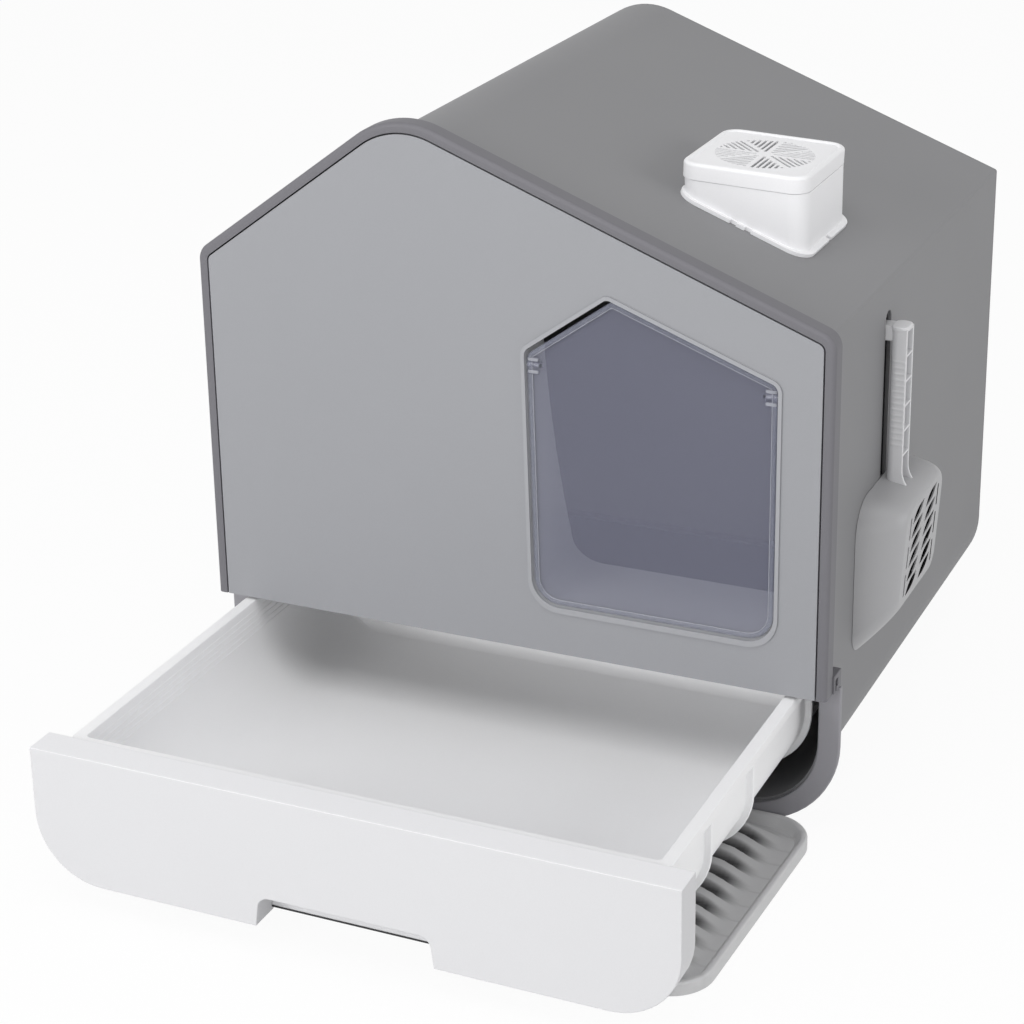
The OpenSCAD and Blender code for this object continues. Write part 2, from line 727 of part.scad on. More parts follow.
// Scoop frame: X out from the wall, Y along it and Z up, with the lip at z = 0
wall_x = shell_half + loose;
ramp_h = 34;      // height of the sloping front part of the bowl
floor_slope = 5;  // how much nearer the wall the floor lies at its front end
heel_in = 8;      // how much the heel wall leans in
heel_h = 24;      // height of the bowl's back end
mouth_r = 16;     // corner radius of the bowl's mouth
floor_r = 12;     // corner radius of the bowl's floor
end_t = 0.1;      // thickness of the slabs that span the bowl's shape

// A thin upright slab with round corners, as one end of the bowl's shape
module bowl_end(x, half, low, high, r) {
    along_x(x, x + end_t)
        polygon(rounded([[-half, low], [half, low], [half, high], [-half, high]], [r, r, r, r]));
}

// Height of the tab that hangs the scoop in the wall's slot
tab_h = 12;

// The bowl's outer shape, drawn in by d
module bowl_shape(d) {
    mouth_half = scoop_w / 2 - d;
    floor_half = scoop_floor_w / 2 - d;
    high = scoop_mouth_len - heel_in - d;
    hull() {
        bowl_end(d > 0 ? -eps : 0, mouth_half, d, scoop_mouth_len - d, mouth_r - d);
        bowl_end(scoop_depth - floor_slope - d, floor_half, ramp_h, high / 2 + ramp_h, floor_r - d);
        bowl_end(scoop_depth - d - end_t, floor_half, high - heel_h, high, floor_r - d);
    }
}

// Slanting sifting slots in the bowl's floor, in two columns, with long slits beside them
module sifting_slots() {
    rows = 6;
    pitch = 11.6;
    slot_len = 27;
    slot_high = 6.5;
    slot = [2 * scoop_depth, slot_len, slot_high];
    column_y = 16.8;
    lean = 5;
    slit_wide = 2.6;
    slit_high = 18;
    slit = [2 * scoop_depth, slit_wide, slit_high];
    slit_y = 35.5;
    slits = 3;
    first_up = 10;
    slit_up = 6;
    for (side = [-1, 1], i = [0 : rows - 1])
        translate([scoop_depth / 2, side * column_y, ramp_h + first_up + i * pitch]) rotate([lean, 0, 0])
            translate([0, -slot.y / 2, -slot.z / 2]) cube(slot);
    for (side = [-1, 1], i = [0 : slits - 1])
        translate([scoop_depth / 2, side * slit_y - slit.y / 2, ramp_h + slit_up + i * 2 * pitch])
            cube(slit);
}

// Handle: round towards the wall, open outwards between cross ribs, with a tab for the slot
module scoop_handle() {
    cells = 6;
    side_t = 2;
    cell_back = 3;
    back_r = 5;
    edge_r = 1;
    high = scoop_mouth_len + handle_len;
    low = scoop_mouth_len - heel_in;
    cell_low = scoop_mouth_len + side_t;
    cell_h = (handle_len - 2 * side_t) / cells;
    tab_w = slot_w - 4 * loose;
    tab_in = shell_wall + 3;
    half = handle_w / 2;
    difference() {
        translate([handle_off, 0, low]) linear_extrude(high - low)
            polygon(rounded([[0, -half], [handle_t, -half], [handle_t, half], [0, half]],
                [back_r, edge_r, edge_r, back_r]));
        for (i = [0 : cells - 1])
            translate([handle_off + cell_back, -half + side_t, cell_low + i * cell_h])
            cube([handle_t, handle_w - 2 * side_t, cell_h - side_t]);
    }
    translate([-tab_in, -tab_w / 2, high - tab_h]) cube([tab_in + handle_off + eps, tab_w, tab_h]);
}

module scoop() {
    color(c_scoop) from_front() translate([wall_x, scoop_y, scoop_lip_z]) {
        difference() {
            bowl_shape(0);
            bowl_shape(scoop_t);
            sifting_slots();
        }
        scoop_handle();
    }
}

// Pocket behind the slot, with the shelf that carries the scoop's tab
module scoop_pocket() {
    pocket_t = 2;
    shelf_t = 4;
    tab_low = scoop_lip_z + scoop_mouth_len + handle_len - tab_h;
    low = slot_top_z - slot_h;
    color(c_shell) from_front() {
        difference() {
            along_x(inner_half - pocket_d, inner_half) slot_outline(pocket_t);
            along_x(inner_half - pocket_d + pocket_t, inner_half + eps) slot_outline(0);
        }
        translate([inner_half - pocket_d, scoop_y - slot_w / 2, tab_low - loose - shelf_t])
            cube([pocket_d, slot_w, shelf_t]);
    }
}

outer_shell();
back_panel();
front_bezel();
latch(-1);  // latch_left
latch(1);  // latch_right
base_rim();
front_panel();
entry_sleeve();
door_flap();
flap_pin(door_left - pin_seat);  // flap_pin_left
flap_pin(door_right - pin_reach);  // flap_pin_right
drawer_pan();
drawer_front();
rail(-1);  // rail_left
rail(1);  // rail_right
foot(-1);  // foot_left
foot(1);  // foot_right
mat_tray();
deodorizer_housing();
deodorizer_lid();
deodorizer_pad();
scoop();
scoop_pocket();
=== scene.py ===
import math

import bmesh
import bpy
from mathutils import Matrix, Vector


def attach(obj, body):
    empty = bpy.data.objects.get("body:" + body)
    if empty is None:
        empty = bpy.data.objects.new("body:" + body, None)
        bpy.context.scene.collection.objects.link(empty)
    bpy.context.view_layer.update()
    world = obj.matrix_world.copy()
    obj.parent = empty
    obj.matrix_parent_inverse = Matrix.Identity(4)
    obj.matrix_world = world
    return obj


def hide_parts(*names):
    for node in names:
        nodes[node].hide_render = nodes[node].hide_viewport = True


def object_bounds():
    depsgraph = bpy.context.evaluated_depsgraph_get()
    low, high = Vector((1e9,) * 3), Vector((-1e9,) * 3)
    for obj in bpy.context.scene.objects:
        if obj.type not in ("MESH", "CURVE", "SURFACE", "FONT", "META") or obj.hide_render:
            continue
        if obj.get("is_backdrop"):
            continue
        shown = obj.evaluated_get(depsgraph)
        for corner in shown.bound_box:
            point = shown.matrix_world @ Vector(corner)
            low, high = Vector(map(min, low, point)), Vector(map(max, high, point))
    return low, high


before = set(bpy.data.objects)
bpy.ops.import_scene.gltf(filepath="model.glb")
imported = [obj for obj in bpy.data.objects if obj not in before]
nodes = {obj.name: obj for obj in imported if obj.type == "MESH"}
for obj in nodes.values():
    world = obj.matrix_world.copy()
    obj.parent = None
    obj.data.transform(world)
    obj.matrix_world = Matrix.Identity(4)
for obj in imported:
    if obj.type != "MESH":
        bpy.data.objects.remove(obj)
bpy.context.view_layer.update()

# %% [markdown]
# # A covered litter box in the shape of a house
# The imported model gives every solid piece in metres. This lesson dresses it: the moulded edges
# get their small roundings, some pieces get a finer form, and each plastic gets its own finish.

# %% [markdown]
# ## The camera
# A product picture of a box is taken with a long lens from the front right and from above. The
# straight edges of the house give the place, the turn and the lens, so that every piece can be
# compared with the picture.

# %% Camera
EYE = (0.7194, -1.5805, 0.9631)
LENS, SENSOR, SHIFT = 90.535, 36, (0.00917, -0.10484)
YAW, PITCH, ROLL = math.radians(24.854), math.radians(20.907), math.radians(-1.136)
ahead = Vector((-math.sin(YAW) * math.cos(PITCH), math.cos(YAW) * math.cos(PITCH), -math.sin(PITCH)))
level = Vector((math.cos(YAW), math.sin(YAW), 0))
upward = level.cross(ahead)
right = math.cos(ROLL) * level + math.sin(ROLL) * upward
top = -math.sin(ROLL) * level + math.cos(ROLL) * upward
camera_data = bpy.data.cameras.new("camera")
camera_data.lens, camera_data.sensor_width = LENS, SENSOR
camera_data.shift_x, camera_data.shift_y = SHIFT
camera = bpy.data.objects.new("camera", camera_data)
bpy.context.scene.collection.objects.link(camera)
camera.matrix_world = Matrix.Translation(EYE) @ Matrix((right, top, -ahead)).transposed().to_4x4()
bpy.context.scene.camera = camera
print("camera at", [round(v, 2) for v in camera.location])

# %% [markdown]
# ## The studio
# A white floor and a white world give even light from all sides, as in a light tent. A large soft
# lamp in front on the left is the main light. A low one in front shines over the drawer's front to
# the back of the pan, one on the right lights the right wall and the scoop, and one above gives
# the roof its grey. The floor is partly self-lit for the camera, so that it stays white and still
# keeps a faint shadow.

# %% Helpers for node materials
def new_material(name):
    """A node material with only its output node, and the tree that it is built in."""
    material = bpy.data.materials.new(name)
    material.use_nodes = True
    tree = material.node_tree
    tree.nodes.clear()
    return material, tree, tree.nodes.new("ShaderNodeOutputMaterial")


def camera_sees(tree):
    """1 for rays from the camera, and for mirrored and see-through ones, else 0."""
    path = tree.nodes.new("ShaderNodeLightPath")
    first = tree.nodes.new("ShaderNodeMath")
    first.operation = "MAXIMUM"
    tree.links.new(path.outputs["Is Camera Ray"], first.inputs[0])
    tree.links.new(path.outputs["Is Glossy Ray"], first.inputs[1])
    both = tree.nodes.new("ShaderNodeMath")
    both.operation = "MAXIMUM"
    tree.links.new(first.outputs[0], both.inputs[0])
    tree.links.new(path.outputs["Is Transmission Ray"], both.inputs[1])
    return both.outputs[0]


print("helpers:", new_material.__name__, camera_sees.__name__)

# %% Floor
FLOOR_HALF, FLOOR_BELOW = 6, 0.0005
PAPER, SELF_LIT = 0.9, 0.94
floor_mesh = bpy.data.meshes.new("floor")
floor_corners = [(x * FLOOR_HALF, y * FLOOR_HALF, 0) for x, y in ((-1, -1), (1, -1), (1, 1), (-1, 1))]
floor_mesh.from_pydata(floor_corners, [], [(0, 1, 2, 3)])
floor = bpy.data.objects.new("floor", floor_mesh)
bpy.context.scene.collection.objects.link(floor)
floor.location.z = -FLOOR_BELOW
floor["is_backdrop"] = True
white, tree, out = new_material("floor_white")
paper = tree.nodes.new("ShaderNodeBsdfDiffuse")
paper.inputs["Color"].default_value = (PAPER, PAPER, PAPER, 1)
glow = tree.nodes.new("ShaderNodeEmission")
glow.inputs["Strength"].default_value = 1.0
lit = tree.nodes.new("ShaderNodeMath")
lit.operation = "MULTIPLY"
lit.inputs[1].default_value = SELF_LIT
mixed = tree.nodes.new("ShaderNodeMixShader")
tree.links.new(camera_sees(tree), lit.inputs[0])
tree.links.new(lit.outputs[0], mixed.inputs["Fac"])
tree.links.new(paper.outputs[0], mixed.inputs[1])
tree.links.new(glow.outputs[0], mixed.inputs[2])
tree.links.new(mixed.outputs[0], out.inputs["Surface"])
floor_mesh.materials.append(white)
print("floor:", 2 * FLOOR_HALF, "m wide,", SELF_LIT, "self-lit for the camera")

# %% World and lamps
WORLD_LIGHT = 0.45
scene = bpy.context.scene
scene.view_settings.view_transform = "Standard"
scene.world = bpy.data.worlds.new("light_tent")
scene.world.use_nodes = True
tree = scene.world.node_tree
backdrop = tree.nodes["Background"]
backdrop.inputs["Color"].default_value = (1, 1, 1, 1)
strength = tree.nodes.new("ShaderNodeMapRange")
strength.inputs["To Min"].default_value = WORLD_LIGHT
strength.inputs["To Max"].default_value = 1.0
tree.links.new(camera_sees(tree), strength.inputs["Value"])
tree.links.new(strength.outputs["Result"], backdrop.inputs["Strength"])


def soft_lamp(name, place, target, size, power):
    """A square area lamp at place that shines at target."""
    data = bpy.data.lights.new(name, "AREA")
    data.size, data.energy = size, power
    lamp = bpy.data.objects.new(name, data)
    lamp.location = place
    lamp.rotation_euler = (Vector(target) - Vector(place)).to_track_quat("-Z", "Y").to_euler()
    scene.collection.objects.link(lamp)
    return lamp


soft_lamp("front_left_lamp", (-1.2, -2.8, 1.2), (0, 0, 0.2), 1.8, 42)
soft_lamp("drawer_lamp", (0.5, -3.2, 0.85), (0, 0, 0.1), 0.8, 12)
soft_lamp("right_lamp", (2.8, 0.0, 1.0), (0.1, 0.1, 0.25), 1.3, 15)
soft_lamp("top_lamp", (0.1, -0.9, 2.7), (0, -0.1, 0.2), 1.6, 20)

# %% [markdown]
# ## Moulded plastic
# Injection-moulded plastic isn't one flat colour. The steel mould was etched, which leaves a fine
# grain, and the melt cools unevenly, which leaves broad and very faint shifts of tone. One group
# makes both, and each plastic places it with its own values.

# %% Helpers for groups and nodes
def add_socket(group, name, kind, value=None, output=False):
    """A named input of a group, or an output; an input may have a value of its own."""
    socket = group.interface.new_socket(name, in_out="OUTPUT" if output else "INPUT", socket_type=kind)
    if value is not None:
        socket.default_value = value
    return socket


def math_node(tree, operation, a, b):
    """A Math node whose two inputs are numbers or sockets."""
    node = tree.nodes.new("ShaderNodeMath")
    node.operation = operation
    for i, value in enumerate((a, b)):
        if isinstance(value, (int, float)):
            node.inputs[i].default_value = value
        else:
            tree.links.new(value, node.inputs[i])
    return node.outputs[0]


def noise_node(tree, place, scale, detail):
    node = tree.nodes.new("ShaderNodeTexNoise")
    node.inputs["Detail"].default_value = detail
    tree.links.new(place, node.inputs["Vector"])
    if isinstance(scale, (int, float)):
        node.inputs["Scale"].default_value = scale
    else:
        tree.links.new(scale, node.inputs["Scale"])
    return node.outputs["Fac"]


print("helpers:", add_socket.__name__, math_node.__name__, noise_node.__name__)

# %% The moulded grain group
GRAIN_SCALE, TONE_SHIFT = 1400.0, 0.03
BROAD_SCALE, SPECK, GLOSS_SHIFT = 7.0, 0.05, 0.12


def moulded_grain_group():
    """Broad shifts of tone and gloss, fine specks, and the height of the etched grain."""
    group = bpy.data.node_groups.new("moulded_grain", "ShaderNodeTree")
    add_socket(group, "Color", "NodeSocketColor", (0.5, 0.5, 0.5, 1))
    add_socket(group, "Tone Shift", "NodeSocketFloat", TONE_SHIFT)
    add_socket(group, "Roughness", "NodeSocketFloat", 0.5)
    add_socket(group, "Grain Scale", "NodeSocketFloat", GRAIN_SCALE)
    add_socket(group, "Color", "NodeSocketColor", output=True)
    add_socket(group, "Roughness", "NodeSocketFloat", output=True)
    add_socket(group, "Height", "NodeSocketFloat", output=True)
    given = group.nodes.new("NodeGroupInput")
    result = group.nodes.new("NodeGroupOutput")
    place = group.nodes.new("ShaderNodeTexCoord").outputs["Object"]
    broad = noise_node(group, place, BROAD_SCALE, 3.0)
    grain = noise_node(group, place, given.outputs["Grain Scale"], 1.0)
    swing = math_node(group, "SUBTRACT", broad, 0.5)
    tone = math_node(group, "ADD", math_node(group, "MULTIPLY", swing, given.outputs["Tone Shift"]), 1.0)
    speck = math_node(group, "MULTIPLY", math_node(group, "SUBTRACT", grain, 0.5), SPECK)
    scale = group.nodes.new("ShaderNodeVectorMath")
    scale.operation = "SCALE"
    group.links.new(given.outputs["Color"], scale.inputs[0])
    group.links.new(math_node(group, "ADD", tone, speck), scale.inputs["Scale"])
    group.links.new(scale.outputs[0], result.inputs["Color"])
    gloss = math_node(group, "ADD", given.outputs["Roughness"],
                      math_node(group, "MULTIPLY", swing, GLOSS_SHIFT))
    group.links.new(gloss, result.inputs["Roughness"])
    group.links.new(grain, result.inputs["Height"])
    return group


GRAIN = moulded_grain_group()
print("group:", GRAIN.name, [s.name for s in GRAIN.interface.items_tree])

# %% Screen colours
def srgb(r, g, b):
    """Linear colour of a screen colour given from 0 to 255."""
    def linear(c):
        c /= 255
        return c / 12.92 if c <= 0.04045 else ((c + 0.055) / 1.055) ** 2.4
    return (linear(r), linear(g), linear(b), 1)


print("mid grey on screen, linear:", [round(v, 3) for v in srgb(128, 128, 128)])

# %% A plastic made with the group
BUMP_STRENGTH = 0.35


def plastic(name, color, roughness, grain_scale=GRAIN_SCALE, grain_depth=0.00003, tone=TONE_SHIFT,
            specular=0.5, groove_shade=0.0):
    """A moulded plastic: Principled BSDF fed by the grain group; a groove amount paints shade into the
    mesh's grooves.
    """
    material, tree, out = new_material(name)
    grain = tree.nodes.new("ShaderNodeGroup")
    grain.node_tree = GRAIN
    grain.inputs["Color"].default_value = color
    grain.inputs["Tone Shift"].default_value = tone
    grain.inputs["Roughness"].default_value = roughness
    grain.inputs["Grain Scale"].default_value = grain_scale
    bsdf = tree.nodes.new("ShaderNodeBsdfPrincipled")
    bsdf.inputs["Specular IOR Level"].default_value = specular
    bump = tree.nodes.new("ShaderNodeBump")
    bump.inputs["Strength"].default_value = BUMP_STRENGTH
    bump.inputs["Distance"].default_value = grain_depth
    shown = grain.outputs["Color"]
    if groove_shade:
        # Painted shade: the colour is darker where the mesh's groove attribute is high.
        depth = tree.nodes.new("ShaderNodeAttribute")
        depth.attribute_name = "groove_shade"
        darker = tree.nodes.new("ShaderNodeVectorMath")
        darker.operation = "SCALE"
        left = math_node(tree, "SUBTRACT", 1.0, math_node(tree, "MULTIPLY", depth.outputs["Fac"], groove_shade))
        tree.links.new(left, darker.inputs["Scale"])
        tree.links.new(shown, darker.inputs[0])
        shown = darker.outputs[0]
    tree.links.new(shown, bsdf.inputs["Base Color"])
    tree.links.new(grain.outputs["Roughness"], bsdf.inputs["Roughness"])
    tree.links.new(grain.outputs["Height"], bump.inputs["Height"])
    tree.links.new(bump.outputs["Normal"], bsdf.inputs["Normal"])
    tree.links.new(bsdf.outputs[0], out.inputs["Surface"])
    return material


SHELL_GREY = plastic("shell_grey", srgb(134, 134, 136), 0.62, grain_depth=0.000012, tone=0.02)
FRAME_GREY = plastic("frame_grey", srgb(107, 106, 111), 0.55, grain_depth=0.000008)
RIM_GREY = plastic("rim_grey", srgb(146, 145, 150), 0.55, grain_depth=0.000008)
PANEL_GREY = plastic("panel_grey", srgb(149, 150, 154), 0.5, tone=0.02)
# The pan is painted whiter than the drawer front: painted light that lifts its shaded inside.
PAN_WHITE_PAINTED_LIGHT = plastic("pan_white_painted_light", srgb(246, 246, 247), 0.45, grain_depth=0.00001)
DEODORIZER_WHITE = plastic("deodorizer_white", srgb(244, 244, 246), 0.45)
# The mat's grooves get painted shade.
MAT_GREY = plastic("mat_grey", srgb(206, 206, 207), 0.55, groove_shade=0.88)
SCOOP_GREY = plastic("scoop_grey", srgb(173, 173, 175), 0.45)
# The handle is the bowl's plastic painted lighter: painted light on the round bar.
HANDLE_GREY_PAINTED_LIGHT = plastic("handle_grey_painted_light", srgb(220, 220, 222), 0.4)
# The scoop's inside is painted near black: painted shade.
SCOOP_INSIDE_PAINTED_SHADE = plastic("scoop_inside_painted_shade", srgb(32, 32, 34), 0.7)
print("plastics:", [m.name for m in bpy.data.materials if m.name.endswith(("grey", "_white"))])

# %% [markdown]
# ## Pieces with painted light
# The sleeve's front lip has the panel's grey, and the tunnel behind it is painted paler: painted
# light in the dim tunnel, which shows through the flap. The drawer front's top face is painted
# whiter than its front: painted light from above. Each piece has one short span along one axis in
# which the first tone blends into the second.

# %% Plastic with painted light
LIP_Y, TOP_FACE_Z = (-0.0275, -0.0245), (0.1184, 0.119)


def plastic_with_painted_light(name, first, second, axis, span, roughness):
    """A plastic that goes from the first colour to the second within a span of an axis; the paler second
    colour is painted light.
    """
    material = plastic(name, first, roughness, grain_depth=0.00001, tone=0.02)
    tree = material.node_tree
    apart = tree.nodes.new("ShaderNodeSeparateXYZ")
    tree.links.new(tree.nodes.new("ShaderNodeTexCoord").outputs["Object"], apart.inputs[0])
    share = tree.nodes.new("ShaderNodeMapRange")
    share.inputs["From Min"].default_value, share.inputs["From Max"].default_value = span
    tree.links.new(apart.outputs[axis], share.inputs["Value"])
    blend = tree.nodes.new("ShaderNodeMix")
    blend.data_type = "RGBA"
    blend.inputs["A"].default_value, blend.inputs["B"].default_value = first, second
    tree.links.new(share.outputs["Result"], blend.inputs["Factor"])
    grain = next(node for node in tree.nodes if node.type == "GROUP")
    tree.links.new(blend.outputs["Result"], grain.inputs["Color"])
    return material


# Painted light: the sleeve's tunnel and the drawer front's top face are painted paler than the rest of each
# piece.
SLEEVE_GREY_PAINTED_LIGHT = plastic_with_painted_light("sleeve_grey_painted_light", srgb(158, 159, 163), srgb(206, 207, 210), "Y", LIP_Y, 0.5)
DRAWER_WHITE_PAINTED_LIGHT = plastic_with_painted_light("drawer_white_painted_light", srgb(210, 210, 212), srgb(238, 238, 240), "Z",
                                TOP_FACE_Z, 0.6)
print("two-tone:", SLEEVE_GREY_PAINTED_LIGHT.name, DRAWER_WHITE_PAINTED_LIGHT.name, len(DRAWER_WHITE_PAINTED_LIGHT.node_tree.nodes), "nodes each")

# %% [markdown]
# ## The clear flap
# The flap is a tinted, clear plastic sheet. Behind it lie the entry sleeve and the dark inside of
# the house, and both show through it with a bluish tone. Alpha gives that, and a low roughness
# keeps the sheet's shine.

# %% Clear plastic
def clear_plastic(name, color, alpha, roughness):
    """A tinted sheet that shows what lies behind it; alpha is how much of it is seen."""
    material, tree, out = new_material(name)
    grain = tree.nodes.new("ShaderNodeGroup")
    grain.node_tree = GRAIN
    grain.inputs["Color"].default_value = color
    grain.inputs["Tone Shift"].default_value = 0.04
    grain.inputs["Roughness"].default_value = roughness
    grain.inputs["Grain Scale"].default_value = GRAIN_SCALE
    bsdf = tree.nodes.new("ShaderNodeBsdfPrincipled")
    bsdf.inputs["Alpha"].default_value = alpha
    tree.links.new(grain.outputs["Color"], bsdf.inputs["Base Color"])
    tree.links.new(grain.outputs["Roughness"], bsdf.inputs["Roughness"])
    tree.links.new(bsdf.outputs[0], out.inputs["Surface"])
    return material


FLAP_CLEAR = clear_plastic("flap_clear", srgb(150, 152, 172), 0.27, 0.12)
# The flap edge's paler band is a painted highlight.
EDGE_HIGHLIGHT_CLEAR = clear_plastic("edge_highlight_clear", srgb(172, 176, 192), 0.2, 0.2)
PIN_CLEAR = clear_plastic("pin_clear", srgb(180, 182, 190), 0.6, 0.2)
print("clear plastics:", [m.name for m in bpy.data.materials if m.name.endswith("clear")])

# %% [markdown]
# ## Painted shade in the pocket, and the felt
# The pocket behind the slot in the wall is painted near black: painted shade, as no light gets in.
# The deodorizer's filter is a pad of felt: matt, coarse and unevenly dark, so it takes the same
# grain with a larger pattern and a deeper relief.

# %% Painted shade and felt
# Painted shade: near black for the pocket and for the line behind the notch.
PAINTED_SHADE_DARK = plastic("painted_shade_dark", srgb(30, 30, 32), 0.7)
FELT = plastic("filter_felt", srgb(58, 58, 60), 0.95, grain_scale=900.0, grain_depth=0.0005, tone=0.3,
               specular=0.2)
print("dark pieces:", PAINTED_SHADE_DARK.name, FELT.name)

# %% [markdown]
# ## Soft moulded edges
# No moulded edge is truly sharp: a radius of half a millimetre or more catches the light as a
# thin bright line. The solids are drawn with sharp edges, so each one gets a bevel as a modifier,
# which leaves the mesh under it as it was. A weld comes first, because the loaded mesh is split
# along its edges, and weighted normals keep the flat faces flat.

# %% Bevels on the solids
WELD_GAP, FLAT_ANGLE, EDGE_ANGLE, FLAT_WEIGHT = 0.00001, math.radians(0.5), math.radians(35), 80


def soften(obj, width):
    """Rounds a solid's edges by width, in metres, with modifiers alone."""
    weld = obj.modifiers.new("weld", "WELD")
    weld.merge_threshold = WELD_GAP
    flat = obj.modifiers.new("flat_faces", "DECIMATE")
    flat.decimate_type, flat.angle_limit = "DISSOLVE", FLAT_ANGLE
    bevel = obj.modifiers.new("edge", "BEVEL")
    bevel.width, bevel.segments, bevel.angle_limit = width, 2, EDGE_ANGLE
    bevel.limit_method, bevel.use_clamp_overlap = "ANGLE", True
    bevel.miter_outer = "MITER_ARC"
    normals = obj.modifiers.new("normals", "WEIGHTED_NORMAL")
    normals.keep_sharp = False
    normals.weight = FLAT_WEIGHT


def finish_node(name, material, width):
    """Gives a solid its plastic, and soft edges where a width is named."""
    obj = nodes[name]
    obj.data.materials.clear()
    obj.data.materials.append(material)
    if width:
        soften(obj, width)


print("edges sharper than", round(math.degrees(EDGE_ANGLE)), "degrees are rounded")

# %% A finish for each solid
# Painted light and shade among these: the sleeve's paler tunnel, the pan's whiter tone, the drawer front's
# paler top and the pocket's near black.
FINISHES = {
    "outer_shell": (SHELL_GREY, 0.0005), "back_panel": (SHELL_GREY, 0.001),
    "scoop_pocket": (PAINTED_SHADE_DARK, 0.0003), "front_bezel": (FRAME_GREY, 0.001),
    "latch_left": (FRAME_GREY, 0.0006), "latch_right": (FRAME_GREY, 0.0006),
    "base_rim": (RIM_GREY, 0.0012), "rail_left": (FRAME_GREY, 0.0006),
    "rail_right": (FRAME_GREY, 0.0006), "foot_left": (FRAME_GREY, 0.001),
    "foot_right": (FRAME_GREY, 0.001), "front_panel": (PANEL_GREY, 0.0006),
    "entry_sleeve": (SLEEVE_GREY_PAINTED_LIGHT, 0.0005), "door_flap": (FLAP_CLEAR, 0.0003),
    "flap_pin_left": (PIN_CLEAR, 0.0003), "flap_pin_right": (PIN_CLEAR, 0.0003),
    "drawer_pan": (PAN_WHITE_PAINTED_LIGHT, 0), "drawer_front": (DRAWER_WHITE_PAINTED_LIGHT, 0.0008),
    "mat_tray": (MAT_GREY, 0), "deodorizer_housing": (DEODORIZER_WHITE, 0.0006),
    "deodorizer_lid": (DEODORIZER_WHITE, 0.0006), "deodorizer_pad": (FELT, 0.0005),
    "scoop": (SCOOP_GREY, 0.0004),
}
for name, (material, width) in FINISHES.items():
    finish_node(name, material, width)
print("finished nodes:", len(FINISHES), "of", len(nodes))

# %% [markdown]
# ## Outlines and skins
# Some pieces have forms that the solids only suggest, such as the scoop's round bowl. Each of them
# is drawn as a row of outlines with the same number of points, and a skin joins each outline to
# the next. Lengths here are in millimetres, with y measured from the front plane of the house.

# %% Outline helpers
FRONT_Y = -27.5


def metres(x, y, z):
    """A point measured in millimetres from the front plane, in the model's own frame."""
    return (x / 1000, (y + FRONT_Y) / 1000, z / 1000)


def inset(points, distances):
    """The corners of an anticlockwise outline with side i, from point i on, moved inwards."""
    moved, count = [], len(points)
    for i in range(count):
        a, b, c = (Vector(points[k % count]) for k in (i - 1, i, i + 1))
        u, v = (b - a).normalized(), (c - b).normalized()
        p = b + Vector((-u.y, u.x)) * distances[i - 1]
        q = b + Vector((-v.y, v.x)) * distances[i]
        moved.append(p + u * (q - p).cross(v) / u.cross(v))
    return moved


def corner_arc(a, b, c, radius, steps):
    """Points on the arc that rounds the corner b between a and c."""
    u, v = (Vector(a) - Vector(b)).normalized(), (Vector(c) - Vector(b)).normalized()
    half = u.angle(v) / 2
    radius = max(radius, 0.01)
    centre = Vector(b) + (u + v).normalized() * radius / math.sin(half)
    first = Vector(b) + u * radius / math.tan(half) - centre
    last = Vector(b) + v * radius / math.tan(half) - centre
    turn = math.pi - 2 * half
    return [centre + (first * math.sin((1 - k / steps) * turn) + last * math.sin(k / steps * turn))
            / math.sin(turn) for k in range(steps + 1)]


def rounded(points, radii, steps=6):
    """A closed outline with each corner rounded by its own radius."""
    ring, count = [], len(points)
    for i in range(count):
        ring += corner_arc(points[i - 1], points[i], points[(i + 1) % count], radii[i], steps)
    return ring


def rectangle(half_x, low, high):
    return [(-half_x, low), (half_x, low), (half_x, high), (-half_x, high)]


print("a square with round corners has", len(rounded(rectangle(1, 0, 2), [0.5] * 4)), "points")

# %% Skins
JOIN_GAP = 0.000004


def skin(form, rings, closed=True, caps=(False, False), around=False):
    """Adds to form, a pair of point and face lists, the skin that joins each ring to the next."""
    points, faces = form
    first, width, count = len(points), len(rings[0]), len(rings)
    for ring in rings:
        points.extend(ring)
    for r in range(count if around else count - 1):
        near, far = first + r * width, first + (r + 1) % count * width
        for k in range(width if closed else width - 1):
            m = (k + 1) % width
            faces.append((near + k, near + m, far + m, far + k))
    if caps[0]:
        faces.append(tuple(range(first, first + width)))
    if caps[1]:
        faces.append(tuple(range(first + (count - 1) * width, first + count * width)))


def form_object(name, form):
    """A mesh object of a form, with doubled points joined and its faces turned outwards."""
    mesh = bpy.data.meshes.new(name)
    mesh.from_pydata([metres(*point) for point in form[0]], [], form[1])
    build = bmesh.new()
    build.from_mesh(mesh)
    bmesh.ops.remove_doubles(build, verts=build.verts, dist=JOIN_GAP)
    bmesh.ops.dissolve_degenerate(build, edges=build.edges, dist=JOIN_GAP)
    bmesh.ops.recalc_face_normals(build, faces=build.faces)
    build.to_mesh(mesh)
    build.free()
    obj = bpy.data.objects.new(name, mesh)
    bpy.context.scene.collection.objects.link(obj)
    return obj


print("points closer than", JOIN_GAP * 1000, "mm are joined")


# %% Pieces
def carve(obj, cutters):
    """Cuts a form out of a piece, for slots and grilles."""
    tool = form_object("cutter", cutters)
    cut = obj.modifiers.new("cut", "BOOLEAN")
    cut.operation, cut.solver, cut.object = "DIFFERENCE", "EXACT", tool
    graph = bpy.context.evaluated_depsgraph_get()
    mesh = bpy.data.meshes.new_from_object(obj.evaluated_get(graph))
    obj.modifiers.clear()
    obj.data = mesh
    bpy.data.objects.remove(tool)


